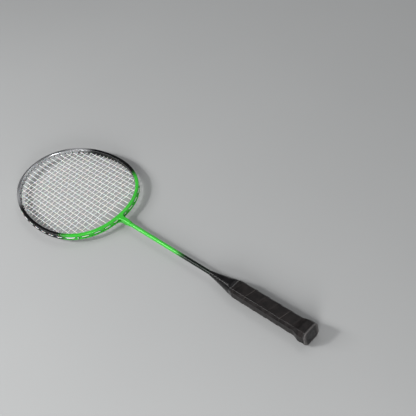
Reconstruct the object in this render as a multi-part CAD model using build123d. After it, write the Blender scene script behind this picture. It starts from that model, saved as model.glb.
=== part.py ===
from build123d import *
from collections import namedtuple
import math
import os

# Badminton racket. Millimetres, +Z up.
# Origin: centre of the butt end face. +X runs along the handle to the tip,
# +Y across the head, +Z square to the string bed.

os.makedirs("parts", exist_ok=True)

# ---------------------------------------------------------------- dimensions
TOTAL_LENGTH = 672.0        # butt end face to tip of the head
TUBE_W = 6.2                # head tube, in the plane of the strings
TUBE_H = 11.4               # head tube, square to the strings
TUBE_R = 1.6                # corner radius of the tube section
TUBE_WALL = 1.1
HOLLOW_R = 1.1              # corner radius of the hollow
HEAD_A = 121.1              # centreline half length of the head
HEAD_B = 97.9               # centreline half width of the head
HEAD_N_TIP = 2.14           # superellipse exponents, tip half and throat half
HEAD_N_THROAT = 2.17
HEAD_EGG = -0.075           # head slightly fuller on the throat side
HEAD_X = TOTAL_LENGTH - TUBE_W / 2 - HEAD_A    # middle of the head
THROAT_X = HEAD_X - HEAD_A

# where the centreline is sampled, going from the throat to the tip
THROAT_SAMPLES_Y = (38.0, 62.0, 82.0)
SIDE_SAMPLES_X = (HEAD_X - 34, HEAD_X + 14, HEAD_X + 58, HEAD_X + 90)
TIP_SAMPLE_Y = 34.0

GROOVE_DEPTH = 1.15         # string groove round the outside of the tube
GROOVE_HALF = 2.1
FLOOR = TUBE_W / 2 - GROOVE_DEPTH      # groove floor, out from the centreline

ARM_Y = 17.7                # half spread of the T-joint arms
SPIGOT_Y = 27.0             # half spread to the ends of its spigots
SPIGOT_GAP = 0.03           # all round the spigot
STEM_HALF = 4.1
STEM_FILLET = 8.8
STEM_END_X = 396.0
STEM_END_HALF = 3.95
NECK_LENGTH = 11.0          # from the round stem end to the full section
GROOVE_BRIDGE = 5.7         # width left ungrooved at the middle of the joint

SHAFT_OD = 7.2
SHAFT_ID = 5.0
SHAFT_X0 = 72.0
SHAFT_X1 = 416.0
SOCKET_R = SHAFT_OD / 2 + 0.03         # bore that takes the shaft
PLUG_STEM = 7.0             # plug length inside the shaft
PLUG_HEAD = 2.0             # plug length below the shaft

N_MAINS = 20
HALF_MAINS = N_MAINS // 2
MAIN_PITCH = 8.85
MAIN_FAN = 0.00035          # mains close up slightly towards the tip
CROSS_X0 = 453.0
CROSS_PITCH = 9.03
N_CROSSES = 21
STRING_R = 0.40
MAIN_Z = 0.45               # level of the main string
CROSS_Z = -0.45             # level of the cross string
BEND = 0.47                 # centreline radius where a string turns into the groove

# each cross may slide a little so that its holes clear the holes of the mains
CROSS_SHIFT = 0.1
N_CROSS_SHIFTS = 15
ENOUGH_GAP = 3.6
SHIFT_COST = 0.05

BARREL_R = 1.2              # grommets
BORE_R = 0.72
FLANGE_R = 1.6
FLANGE_T = 0.4
LIP = 0.8                   # grommet standing proud inside the head
HOLE_R = BARREL_R + 0.02
GROMMET_TIP_X = 628         # borders between the grommet groups
GROMMET_THROAT_X = 448

# offsets from the centreline of the head, outwards positive
INNER_END = -TUBE_W / 2 - LIP          # inner ends of the grommets
FLANGE_FACE = FLOOR + FLANGE_T         # outer faces of the grommets
RUN = FLANGE_FACE + STRING_R + 0.11    # string in the groove

RELIEF_R = 1.3              # lower row of holes in the outer wall
RELIEF_Z = -3.55
RELIEF_START = 0.3          # offset at which they start

KNOT_R = 1.05
TAIL = 1.15                 # string end beyond the grommet face
KNOT_BACK = 0.25            # knot centre, back from the string end

GRIP_Y = 13.2               # octagonal grip, half width and half height
GRIP_Z = 11.6
GRIP_TOP = 9.6              # half width of the wide top facet
GRIP_SIDE = 6.8             # half height of the side facet
CORE_D = 2.2                # core surface, measured in from the grip surface
UNDER_D = 1.7               # underlay surface, likewise
CONE_D = UNDER_D - 0.9      # flats on the cone, likewise
WRAP_T = 1.5
WRAP_STEP = 0.45            # overlap step of one turn on the next
WRAP_PITCH = 23.3
WRAP_X0 = 3.0
WRAP_X1 = 149.5
HELIX_X0 = WRAP_X0 - 9.6
FIRST_TURN, LAST_TURN = -1, 6
ROWS_PER_TURN = 3
CORNER_EASE = 1.3           # cut back along each facet at a corner
FLARE = 3.0
FLARE_X0 = 15.0
FLARE_X1 = 24.0

CONE_X0 = WRAP_X1
CONE_X1 = 205.0
CONE_R0 = 14.6
CONE_R1 = 4.15
CONE_POWER = 1.12           # hollowness of the profile
N_CONE_POINTS = 9
CONE_BORE_R = SHAFT_OD / 2 + 0.05
END_TAPE_X0 = WRAP_X1 + 0.05
END_TAPE_X1 = WRAP_X1 + 6.0
END_TAPE_T = 0.35

CORE_X0 = 5.0
CORE_X1 = 172.0
CORE_NOSE_R = 8.2           # round end of the core inside the cone
CORE_BORE_R = 5.5           # lightening bore at the butt end
CORE_BORE_X = 40.0
PLATE_CHAMFER = 0.9
BADGE_R = 8.6
BADGE_T = 1.2
BADGE_CHAMFER = 0.4
PIN_X = 19.0
PIN_Y = 9.9
PIN_R = 0.7
PIN_LENGTH = 6.0

TURN = 2 * math.pi
THROAT, TIP = -1, 1         # the two ends of the head
BIG = 80.0                  # oversize for trimming blocks

# a point of the centreline with its outward normal
Station = namedtuple("Station", "x y out_x out_y")
# centre, radius, start and end angle of one arc of the head loop
HeadArc = namedtuple("HeadArc", "x y radius start end")
# a hole through the tube: inner and outer (x, y) ends and its level
Hole = namedtuple("Hole", "inner outer level")


# ------------------------------------------------------------ plane geometry
def direction(start, end):
    """Unit vector from start to end."""
    x, y = end[0] - start[0], end[1] - start[1]
    length = math.hypot(x, y)
    return x / length, y / length


def shift(point, along, distance):
    return point[0] + along[0] * distance, point[1] + along[1] * distance


def extend(start, end, back, beyond):
    """Segment lengthened by back behind its start and by beyond past its end."""
    along = direction(start, end)
    return shift(start, along, -back), shift(end, along, beyond)


def facing(point, normal, level=0.0):
    """Upright plane at a point, square to a horizontal normal."""
    return Plane(origin=(point[0], point[1], level),
                 z_dir=(normal[0], normal[1], 0), x_dir=(0, 0, 1))


def rod(start, end, radius, level):
    """Round bar from start to end at one level."""
    plane = facing(start, direction(start, end), level)
    return extrude(plane * Circle(radius), math.dist(start, end))


def along_x(radius, x0, x1):
    """Round bar on the X axis."""
    return Pos((x0 + x1) / 2, 0, 0) * Rot(0, 90, 0) * Cylinder(radius, x1 - x0)


def slab(x0, x1):
    """Trimming block between two stations."""
    return Pos((x0 + x1) / 2, 0, 0) * Box(x1 - x0, BIG, BIG)


def front_edges(shape):
    """Edges lying in the butt end face."""
    return [e for e in shape.edges() if abs(e.center().X) < 1e-6]


# ------------------------------------------------------------ head centreline
def half_width(x):
    """Half width of the centreline at station x."""
    u = (x - HEAD_X) / HEAD_A
    power = HEAD_N_TIP if u > 0 else HEAD_N_THROAT
    return HEAD_B * max(0.0, 1 - abs(u) ** power) ** (1 / power) * (1 + HEAD_EGG * u)


def x_of_y(y, end):
    """Station at one end of the head where the half width is y, by bisection."""
    low, high = 0.0, 1.0
    for _ in range(70):
        middle = (low + high) / 2
        if half_width(HEAD_X + end * middle * HEAD_A) > y:
            low = middle
        else:
            high = middle
    return HEAD_X + end * low * HEAD_A


def station(x, y):
    """Centreline point with y > 0 and its normal pointing out of the head."""
    u = (x - HEAD_X) / HEAD_A
    step = 1e-3
    if abs(u) > 0.9:
        # steep near the ends, so differentiate x by y
        end = TIP if u > 0 else THROAT
        slope = (x_of_y(y + step, end) - x_of_y(y - step, end)) / (2 * step)
        out_x, out_y = end, -end * slope
    else:
        slope = (half_width(x + step) - half_width(x - step)) / (2 * step)
        out_x, out_y = -slope, 1.0
    length = math.hypot(out_x, out_y)
    return Station(x, y, out_x / length, out_y / length)


def biarc_joint(start, end):
    """Station where the pair of tangent arcs joining two stations meets."""
    tan0_x, tan0_y = -start.out_y, start.out_x
    tan1_x, tan1_y = -end.out_y, end.out_x
    chord_x, chord_y = end.x - start.x, end.y - start.y
    chord_sq = chord_x ** 2 + chord_y ** 2
    chord_dot = chord_x * (tan0_x + tan1_x) + chord_y * (tan0_y + tan1_y)
    turning = 2 * (1 - (tan0_x * tan1_x + tan0_y * tan1_y))
    reach = (-chord_dot + math.sqrt(chord_dot ** 2 + turning * chord_sq)) / turning
    x = (start.x + end.x + reach * (tan0_x - tan1_x)) / 2
    y = (start.y + end.y + reach * (tan0_y - tan1_y)) / 2
    # mirror the first tangent about the chord of the first arc
    half_x, half_y = x - start.x, y - start.y
    factor = 2 * (half_x * tan0_x + half_y * tan0_y) / (half_x ** 2 + half_y ** 2)
    tan_x, tan_y = factor * half_x - tan0_x, factor * half_y - tan0_y
    length = math.hypot(tan_x, tan_y)
    return Station(x, y, tan_y / length, -tan_x / length)


def chain(stations):
    """Stations with a biarc joint put between each pair."""
    joined = [stations[0]]
    for start, end in zip(stations, stations[1:]):
        joined += [biarc_joint(start, end), end]
    return joined


def offset_point(at, offset):
    return (at.x + offset * at.out_x, at.y + offset * at.out_y, 0.0)


def arc_edges(stations, offset=0.0):
    """Tangent arcs through the stations, moved outwards by the offset."""
    return [TangentArc(offset_point(start, offset), offset_point(end, offset),
                       tangent=(-start.out_y, start.out_x, 0))
            for start, end in zip(stations, stations[1:])]


def head_arc(start, end):
    """The arc between two stations; its centre lies on the first normal."""
    dx, dy = end.x - start.x, end.y - start.y
    radius = -(dx * dx + dy * dy) / (2 * (dx * start.out_x + dy * start.out_y))
    angle0 = math.atan2(start.out_y, start.out_x)
    angle1 = math.atan2(end.out_y, end.out_x)
    while angle1 < angle0:
        angle1 += TURN
    return HeadArc(start.x - radius * start.out_x, start.y - radius * start.out_y,
                   radius, angle0, angle1)


# one half (y > 0) from the throat to the tip, then its mirror image
left_half = [station(x_of_y(y, THROAT), y) for y in (ARM_Y, *THROAT_SAMPLES_Y)]
left_half += [station(x, half_width(x)) for x in SIDE_SAMPLES_X]
left_half.append(station(x_of_y(TIP_SAMPLE_Y, TIP), TIP_SAMPLE_Y))
right_half = [Station(s.x, -s.y, s.out_x, -s.out_y) for s in left_half]
throat_station = Station(THROAT_X, 0.0, -1.0, 0.0)
tip_station = Station(HEAD_X + HEAD_A, 0.0, 1.0, 0.0)

# head path: from the right T-joint arm (y < 0) round the tip to the left arm
frame_stations = right_half + [tip_station] + left_half[::-1]
FRAME = chain(frame_stations)
ARMS = chain([left_half[0], throat_station, right_half[0]])
LOOP = FRAME + ARMS[1:]
ARCS = [head_arc(start, end) for start, end in zip(LOOP, LOOP[1:])]


def arc_point(arc, offset, angle):
    radius = arc.radius + offset
    return arc.x + radius * math.cos(angle), arc.y + radius * math.sin(angle)


def crossing(offset, axis, value, side):
    """Point where the offset loop meets x = value or y = value.

    For axis "y" the side picks the throat or tip half, for axis "x" the sign of y.
    """
    found = None
    for arc in ARCS:
        centre = arc.y if axis == "y" else arc.x
        ratio = (value - centre) / (arc.radius + offset)
        if abs(ratio) > 1:
            continue
        if axis == "y":
            angles = (math.asin(ratio), math.pi - math.asin(ratio))
        else:
            angles = (math.acos(ratio), -math.acos(ratio))
        for angle in angles:
            while angle < arc.start - 1e-7:
                angle += TURN
            while angle > arc.start + TURN - 1e-7:
                angle -= TURN
            if angle <= arc.end + 1e-7:
                x, y = arc_point(arc, offset, angle)
                if (x - HEAD_X if axis == "y" else y) * side > 0:
                    found = (x, y)
    return found


def arc_lengths(offset):
    """Running length of the offset loop at every arc end."""
    table = [0.0]
    for arc in ARCS:
        table.append(table[-1] + (arc.radius + offset) * (arc.end - arc.start))
    return table


def locate(offset, point):
    """Length along the offset loop of a point lying on it."""
    best = None
    for arc, before in zip(ARCS, arc_lengths(offset)):
        radius = arc.radius + offset
        angle = math.atan2(point[1] - arc.y, point[0] - arc.x)
        while angle < arc.start - 1e-6:
            angle += TURN
        if angle > arc.end + 1e-6:
            continue
        miss = abs(math.hypot(point[0] - arc.x, point[1] - arc.y) - radius)
        if best is None or miss < best[0]:
            best = (miss, before + radius * (angle - arc.start))
    return best[1]


def at_length(offset, length):
    """x, y and normal angle at a length along the offset loop."""
    table = arc_lengths(offset)
    length = length % table[-1]
    for i, arc in enumerate(ARCS):
        if length <= table[i + 1] + 1e-9:
            angle = arc.start + (length - table[i]) / (arc.radius + offset)
            return (*arc_point(arc, offset, angle), angle)


def outward(point):
    """Normal of the head at a point on the flange face curve."""
    angle = at_length(FLANGE_FACE, locate(FLANGE_FACE, point))[2]
    return math.cos(angle), math.sin(angle)


# --------------------------------------------------------- string positions
def main_y(i, x):
    """Lateral position of main i (1..10, outwards) at station x."""
    return (i - 0.5) * MAIN_PITCH * (1 - MAIN_FAN * (x - HEAD_X))


def main_end(i, end):
    """Where main i meets the centreline, on the y > 0 side."""
    y = main_y(i, HEAD_X + end * 80)
    for _ in range(8):
        x = crossing(0, "y", y, end)[0]
        y = main_y(i, x)
    return x, y


# (side, i): throat point, tip point
MAINS = {}
for side in (1, -1):
    for i in range(1, HALF_MAINS + 1):
        MAINS[side, i] = tuple((x, side * y) for x, y in (main_end(i, THROAT), main_end(i, TIP)))


def main_hit(side, i, offset, end):
    """Where main i meets the offset loop at one end of the head."""
    throat, tip = MAINS[side, i]
    slope = (tip[1] - throat[1]) / (tip[0] - throat[0])
    x = tip[0] if end == TIP else throat[0]
    for _ in range(10):
        y = throat[1] + slope * (x - throat[0])
        x = crossing(offset, "y", y, end)[0]
    return x, throat[1] + slope * (x - throat[0])


main_lengths = [locate(0, point) for ends in MAINS.values() for point in ends]


def cross_station(j):
    """Station of cross j, shifted to stand clear of the mains at the tube."""
    best = None
    for k in range(N_CROSS_SHIFTS):
        for way in (1, -1):
            x = CROSS_X0 + CROSS_PITCH * j + way * k * CROSS_SHIFT
            length = locate(0, crossing(0, "x", x, 1))
            gap = min(abs(length - other) for other in main_lengths)
            score = min(gap, ENOUGH_GAP) - SHIFT_COST * k
            if best is None or score > best[0] + 1e-9:
                best = (score, x)
    return best[1]


CROSSES = [cross_station(j) for j in range(N_CROSSES)]


def cross_hit(j, offset, side):
    return crossing(offset, "x", CROSSES[j], side)


# --------------------------------------------------------- holes in the tube
holes = []
for side, i in MAINS:
    for end in (THROAT, TIP):
        holes.append(Hole(main_hit(side, i, INNER_END, end),
                          main_hit(side, i, FLANGE_FACE, end), MAIN_Z))
for j in range(N_CROSSES):
    for side in (1, -1):
        holes.append(Hole(cross_hit(j, INNER_END, side),
                          cross_hit(j, FLANGE_FACE, side), CROSS_Z))

drills = [rod(*extend(hole.inner, hole.outer, 1.5, 3.0), HOLE_R, hole.level) for hole in holes]


def relief_drill(side, i):
    """Plain hole through the outer wall between throat ends of mains i and i + 1."""
    first, second = (locate(FLANGE_FACE, main_hit(side, k, FLANGE_FACE, THROAT))
                     for k in (i, i + 1))
    share = 0.66 if i == 2 else 0.5        # clear of the joint's seam
    x, y, angle = at_length(FLANGE_FACE, first + (second - first) * share)
    normal = (math.cos(angle), math.sin(angle))
    return rod(shift((x, y), normal, RELIEF_START - FLANGE_FACE),
               shift((x, y), normal, 6), RELIEF_R, RELIEF_Z)


relief_drills = [relief_drill(side, i) for side in (1, -1) for i in range(1, HALF_MAINS)]


# ------------------------------------------------------------------ the head
def tube_sweep(stations, profile):
    """Profile (x outwards, y up) swept along the arcs through the stations."""
    first = stations[0]
    plane = Plane(origin=(first.x, first.y, 0), x_dir=(first.out_x, first.out_y, 0),
                  z_dir=(-first.out_y, first.out_x, 0))
    return sweep(sections=plane * profile, path=Wire(arc_edges(stations)))


def groove_profile(reach):
    """String groove, from its floor outwards."""
    return Pos(FLOOR + reach / 2, 0) * Rectangle(reach, 2 * GROOVE_HALF)


def hollow_profile(gap=0.0):
    """Hollow of the tube, shrunk by a gap all round."""
    inner, outer = -(TUBE_W / 2 - TUBE_WALL), FLOOR - TUBE_WALL
    height = TUBE_H - 2 * TUBE_WALL
    return Pos((inner + outer) / 2, 0) * RectangleRounded(
        outer - inner - 2 * gap, height - 2 * gap, HOLLOW_R - gap)


def build_head():
    section = RectangleRounded(TUBE_W, TUBE_H, TUBE_R) - groove_profile(4.0)
    head = tube_sweep(FRAME, section) - tube_sweep(FRAME, hollow_profile())
    head = head.cut(*drills)
    return head.cut(*relief_drills)


# ------------------------------------------------------------- the T-joint
STEM_MID = STEM_END_X + NECK_LENGTH


def arms_face():
    """Plan of the two arms: a band of the tube's width."""
    def across(at):
        return Line(offset_point(at, TUBE_W / 2), offset_point(at, -TUBE_W / 2))
    return Face(Wire(arc_edges(ARMS, TUBE_W / 2) + [across(ARMS[-1])]
                     + arc_edges(ARMS, -TUBE_W / 2) + [across(ARMS[0])]))


def shoulder_face(side):
    """Concave shoulder: an arc tangent to the stem and to the outside of the head."""
    stem_y, half_y = side * STEM_HALF, side * STEM_HALF * 0.5
    centre_y = side * (STEM_HALF + STEM_FILLET)
    for arc in ARCS:
        reach = arc.radius + TUBE_W / 2 + STEM_FILLET
        rest = reach ** 2 - (centre_y - arc.y) ** 2
        if rest < 0:
            continue
        centre_x = arc.x - math.sqrt(rest)
        angle = math.atan2(centre_y - arc.y, centre_x - arc.x)
        while angle < arc.start:
            angle += TURN
        if angle > arc.end or centre_x > HEAD_X - 100 or centre_x < STEM_MID:
            continue
        touch_x, touch_y = arc_point(arc, TUBE_W / 2, angle)
        touch_angle = math.atan2(touch_y - centre_y, touch_x - centre_x)
        mid_angle = (touch_angle - side * math.pi / 2) / 2
        middle = (centre_x + STEM_FILLET * math.cos(mid_angle),
                  centre_y + STEM_FILLET * math.sin(mid_angle))
        return make_face([
            Line((THROAT_X, half_y), (centre_x, half_y)),
            Line((centre_x, half_y), (centre_x, stem_y)),
            ThreePointArc((centre_x, stem_y), middle, (touch_x, touch_y)),
            Line((touch_x, touch_y), (THROAT_X, touch_y)),
            Line((THROAT_X, touch_y), (THROAT_X, half_y))])


def is_rim(edge):
    """Top and bottom edges, except at the neck and at the ends of the arms."""
    return (abs(abs(edge.center().Z) - TUBE_H / 2) < 1e-4
            and abs(abs((edge @ 0).Z) - TUBE_H / 2) < 1e-4
            and not abs(edge.center().X - STEM_MID) < 0.05
            and not (abs(abs((edge @ 0.5).Y) - ARM_Y) < 0.9 and edge.length < TUBE_W + 0.2))


def stem_section(x, width, height, radius):
    plane = Plane(origin=(x, 0, 0), x_dir=(0, 1, 0), z_dir=(1, 0, 0))
    return plane * RectangleRounded(width, height, radius)


def build_joint():
    plan = arms_face() + make_face(Polyline(
        (STEM_MID, -STEM_HALF), (THROAT_X, -STEM_HALF),
        (THROAT_X, STEM_HALF), (STEM_MID, STEM_HALF), close=True))
    for side in (1, -1):
        plan = plan + shoulder_face(side)
    joint = extrude(plan, TUBE_H / 2, both=True)
    joint = fillet([e for e in joint.edges() if is_rim(e)], TUBE_R)

    # neck, from the nearly round stem end to the full section
    end_width = 2 * STEM_END_HALF
    joint = joint + loft([
        stem_section(STEM_END_X, end_width, end_width, STEM_END_HALF - 0.05),
        stem_section(STEM_MID, 2 * STEM_HALF, TUBE_H, TUBE_R)])

    # string groove on either side of the bridge
    slots = tube_sweep(ARMS, groove_profile(8.0))
    joint = joint - (slots - Pos(THROAT_X, 0, 0) * Box(60, GROOVE_BRIDGE, 20))

    # spigots that enter the hollow head tube
    for side, stations in ((-1, frame_stations[:2]), (1, frame_stations[-2:])):
        spigot = tube_sweep(chain(stations), hollow_profile(SPIGOT_GAP))
        keep = Pos(HEAD_X - 110, side * (ARM_Y + SPIGOT_Y) / 2, 0) \
            * Box(60, SPIGOT_Y - ARM_Y + 0.4, 20)
        joint = joint + (spigot & keep)

    joint = joint - along_x(SOCKET_R, STEM_END_X - 0.05, SHAFT_X1 + 0.05)
    joint = joint.cut(*[drill for drill, hole in zip(drills, holes)
                        if hole.inner[0] < HEAD_X - 60 and abs(hole.inner[1]) < SPIGOT_Y + 6])
    return joint.cut(*[drill for drill in relief_drills if abs(drill.center().Y) < ARM_Y])


# ------------------------------------------------------------------- shaft
def build_shaft():
    return along_x(SHAFT_OD / 2, SHAFT_X0, SHAFT_X1) - along_x(SHAFT_ID / 2, SHAFT_X0, SHAFT_X1)


def build_plug():
    """Headed plug in the lower end of the shaft."""
    return along_x(SHAFT_ID / 2, SHAFT_X0, SHAFT_X0 + PLUG_STEM) \
        + along_x(SHAFT_OD / 2, SHAFT_X0 - PLUG_HEAD, SHAFT_X0)


# ------------------------------------------------------------------ handle
def oct_points(inset):
    """(y, z) corners of the octagon whose faces lie inset inside the grip surface."""
    normal_y, normal_z = direction((GRIP_SIDE, GRIP_TOP), (GRIP_Z, GRIP_Y))
    slant = normal_y * GRIP_TOP + normal_z * GRIP_Z - inset
    wide, high = GRIP_Y - inset, GRIP_Z - inset
    top = (slant - normal_z * high) / normal_y      # half width of the top facet
    rise = (slant - normal_y * wide) / normal_z     # half height of the side facet
    return [(wide, -rise), (wide, rise), (top, high), (-top, high),
            (-wide, rise), (-wide, -rise), (-top, -high), (top, -high)]


def oct_face(inset, x):
    plane = Plane(origin=(x, 0, 0), x_dir=(0, 1, 0), z_dir=(1, 0, 0))
    return plane * make_face(Polyline(*oct_points(inset), close=True))


def oct_bar(inset, x0, x1):
    return extrude(oct_face(inset, x0), x1 - x0)


# flared butt under the tape: straight, then tapering to the underlay
flare_solid = oct_bar(UNDER_D - FLARE, 0.0, FLARE_X0) + loft(
    [oct_face(UNDER_D - FLARE, FLARE_X0), oct_face(UNDER_D, FLARE_X1)])

# two pins through the skirt of the cap into the core
pins = [Pos(PIN_X, side * PIN_Y, 0) * Rot(90, 0, 0) * Cylinder(PIN_R, PIN_LENGTH)
        for side in (1, -1)]


def build_core():
    core = oct_bar(CORE_D, CORE_X0, CONE_X0) + along_x(CORE_NOSE_R, CONE_X0, CORE_X1)
    core = core - along_x(SOCKET_R, SHAFT_X0 - PLUG_HEAD, CORE_X1 + 1)
    core = core - along_x(CORE_BORE_R, 0, CORE_BORE_X)
    return core.cut(*pins)


def build_underlay():
    return oct_bar(UNDER_D, FLARE_X1, CONE_X0 - 0.5) - oct_bar(CORE_D, FLARE_X1 - 1, CONE_X0)


def build_cap():
    """Butt cap: end plate, bevelled rim and flared skirt over the core."""
    cap = flare_solid & slab(0, 40)
    plate = oct_bar(UNDER_D - FLARE - WRAP_T - WRAP_STEP * 0.6, 0.0, WRAP_X0)
    cap = cap + chamfer(front_edges(plate), PLATE_CHAMFER)
    cap = cap - oct_bar(CORE_D, CORE_X0, FLARE_X1 + 1)
    cap = cap - along_x(BADGE_R + 0.05, 0, BADGE_T)
    return cap.cut(*pins)


def build_badge():
    badge = along_x(BADGE_R, 0, BADGE_T)
    return chamfer(front_edges(badge), BADGE_CHAMFER)


# wrapped grip: one tape wound in a helix, each turn lapping the last
def soft_octagon(inset):
    """Octagon with every corner eased, giving 16 corners."""
    corners = oct_points(inset)
    eased = []
    for k, corner in enumerate(corners):
        for neighbour in (corners[k - 1], corners[(k + 1) % 8]):
            eased.append(shift(corner, direction(corner, neighbour), CORNER_EASE))
    return eased


def perimeter_fractions():
    """Share of the perimeter passed at each corner of the eased octagon."""
    corners = soft_octagon(0.0)
    passed = [0.0]
    for start, end in zip(corners, corners[1:] + corners[:1]):
        passed.append(passed[-1] + math.dist(start, end))
    return [length / passed[-1] for length in passed]


N_CORNERS = 16
FRACTIONS = perimeter_fractions()
# (turn, fraction of the pitch) of each row of vertices
TAPE_ROWS = [(turn, step / ROWS_PER_TURN) for turn in range(FIRST_TURN, LAST_TURN + 1)
             for step in range(ROWS_PER_TURN + 1)]


def flare_at(x):
    """Outward growth of the surface under the tape."""
    if x <= FLARE_X0:
        return FLARE
    if x >= FLARE_X1:
        return 0.0
    return FLARE * (FLARE_X1 - x) / (FLARE_X1 - FLARE_X0)


def tape_vertex(row, k):
    """Corner k of a row; the fraction is 0 at the lapped edge of a turn."""
    turn, fraction = TAPE_ROWS[row]
    if k == N_CORNERS:
        turn, k = turn + 1, 0
    x = HELIX_X0 + WRAP_PITCH * (turn + fraction + FRACTIONS[k])
    inset = UNDER_D - flare_at(x) - WRAP_T - WRAP_STEP * (1 - fraction)
    y, z = soft_octagon(inset)[k]
    return (x, -y, z)


def triangle(*corners):
    return Face(Wire.make_polygon(list(corners), close=True))


def end_fan(rim, apex_x):
    """Triangles closing one end of the wound surface to a point on the axis."""
    return [triangle(start, end, (apex_x, 0.0, 0.0))
            for start, end in zip(rim, rim[1:] + rim[:1])]


def build_wrap():
    faces = []
    last = len(TAPE_ROWS) - 1
    for row in range(last):
        for k in range(N_CORNERS):
            a, b = tape_vertex(row, k), tape_vertex(row, k + 1)
            c, d = tape_vertex(row + 1, k + 1), tape_vertex(row + 1, k)
            faces += [triangle(a, b, c), triangle(a, c, d)]
    low = [tape_vertex(0, k) for k in range(N_CORNERS + 1)]
    low += [tape_vertex(row, 0) for row in range(ROWS_PER_TURN, 0, -1)]
    high = [tape_vertex(last, k) for k in range(N_CORNERS + 1)]
    high += [tape_vertex(row, N_CORNERS)
             for row in range(last - 1, last - ROWS_PER_TURN - 1, -1)]
    faces += end_fan(low, low[0][0]) + end_fan(high, high[0][0] + WRAP_PITCH)
    wrap = Solid(Shell(faces))
    if wrap.volume < 0:
        # the shell came out inside out
        wrap = Solid(Shell([-face for face in faces]))
    wrap = wrap & slab(WRAP_X0, WRAP_X1)
    return wrap - flare_solid - oct_bar(UNDER_D, FLARE_X1 - 0.001, CONE_X0 + 1)


def build_cone_and_tape():
    """Handle cone, and the narrow tape seated round its lower end."""
    profile = []
    for k in range(N_CONE_POINTS):
        u = k / (N_CONE_POINTS - 1)
        profile.append((CONE_X0 + (CONE_X1 - CONE_X0) * u,
                        CONE_R1 + (CONE_R0 - CONE_R1) * (1 - u) ** CONE_POWER))
    bore_end = (CONE_X1 - 0.01, CONE_BORE_R)
    bore_start = (CONE_X0, CONE_BORE_R)
    blank = revolve(make_face([Spline(*profile), Line(profile[-1], bore_end),
                               Line(bore_end, bore_start), Line(bore_start, profile[0])]),
                    Axis.X, 360)
    blank = blank & oct_bar(CONE_D, CONE_X0, CONE_X1 + 1)
    blank = blank - along_x(CORE_NOSE_R + 0.05, CONE_X0 - 1, CORE_X1 + 0.3)
    seat = oct_bar(UNDER_D - 3.5, CONE_X0 - 1, END_TAPE_X1) \
        - oct_bar(CONE_D + END_TAPE_T, CONE_X0 - 1, END_TAPE_X1)
    return blank - seat, (blank & seat) & slab(END_TAPE_X0, END_TAPE_X1)


# --------------------------------------------------------------- grommets
# which holes belong to each group, by x and y
GROMMET_GROUPS = {
    "grommets_tip": lambda x, y: x >= GROMMET_TIP_X,
    "grommets_left": lambda x, y: GROMMET_THROAT_X <= x < GROMMET_TIP_X and y > 0,
    "grommets_right": lambda x, y: GROMMET_THROAT_X <= x < GROMMET_TIP_X and y <= 0,
    "grommets_throat": lambda x, y: x < GROMMET_THROAT_X,
}


def flanges_meet(hole, other):
    return math.dist((*hole.outer, hole.level),
                     (*other.outer, other.level)) < 2 * FLANGE_R + 0.12


def cluster_holes(chosen):
    """Holes gathered into clusters whose flanges meet."""
    clusters = []
    for hole in chosen:
        near = [c for c in clusters if any(flanges_meet(hole, other) for other in c)]
        merged = [hole]
        for cluster in near:
            merged += cluster
            clusters.remove(cluster)
        clusters.append(merged)
    return clusters


def grommet_strip(cluster):
    """Sleeves of one cluster, moulded as one strip."""
    body = None
    for inner, outer, level in cluster:
        normal = outward(outer)
        beyond_flange = facing(outer, normal) * (Pos(0, 0, 10) * Box(16, 16, 20))
        barrel = rod(*extend(inner, outer, 0.0, 4.0), BARREL_R, level) - beyond_flange
        piece = barrel + rod(shift(outer, normal, -FLANGE_T), outer, FLANGE_R, level)
        body = piece if body is None else body + piece
    for inner, outer, level in cluster:
        body = body - rod(*extend(inner, outer, 2.5, 3.5), BORE_R, level)
    return body


def build_grommets(belongs):
    chosen = [hole for hole in holes
              if belongs((hole.inner[0] + hole.outer[0]) / 2, hole.outer[1])]
    return [grommet_strip(cluster) for cluster in cluster_holes(chosen)]


# ---------------------------------------------------------------- strings
def loop_tangent(angle, way):
    return -math.sin(angle) * way, math.cos(angle) * way


def groove_bend(corner, leg, length, way, into):
    """Arc between a straight leg and the groove run.

    length is where the leg meets the run, way is +1 or -1 along the loop, and into
    is +1 entering the groove, -1 leaving it. Returns the arc's end on the leg, its
    length on the run, and its end and tangent there.
    """
    run = loop_tangent(at_length(RUN, length)[2], way)
    turned = math.acos(max(-1, min(1, leg[0] * run[0] + leg[1] * run[1])))
    run_length = length + into * way * BEND * math.tan(turned / 2)
    x, y, angle = at_length(RUN, run_length)
    tangent = loop_tangent(angle, way)
    # meeting point of the leg and the tangent at the arc's end on the run
    cross = leg[0] * tangent[1] - leg[1] * tangent[0]
    distance = ((x - corner[0]) * tangent[1] - (y - corner[1]) * tangent[0]) / cross
    meet = shift(corner, leg, distance)
    leg_end = shift(meet, leg, -into * math.dist((x, y), meet))
    return leg_end, run_length, (x, y), tangent


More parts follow.
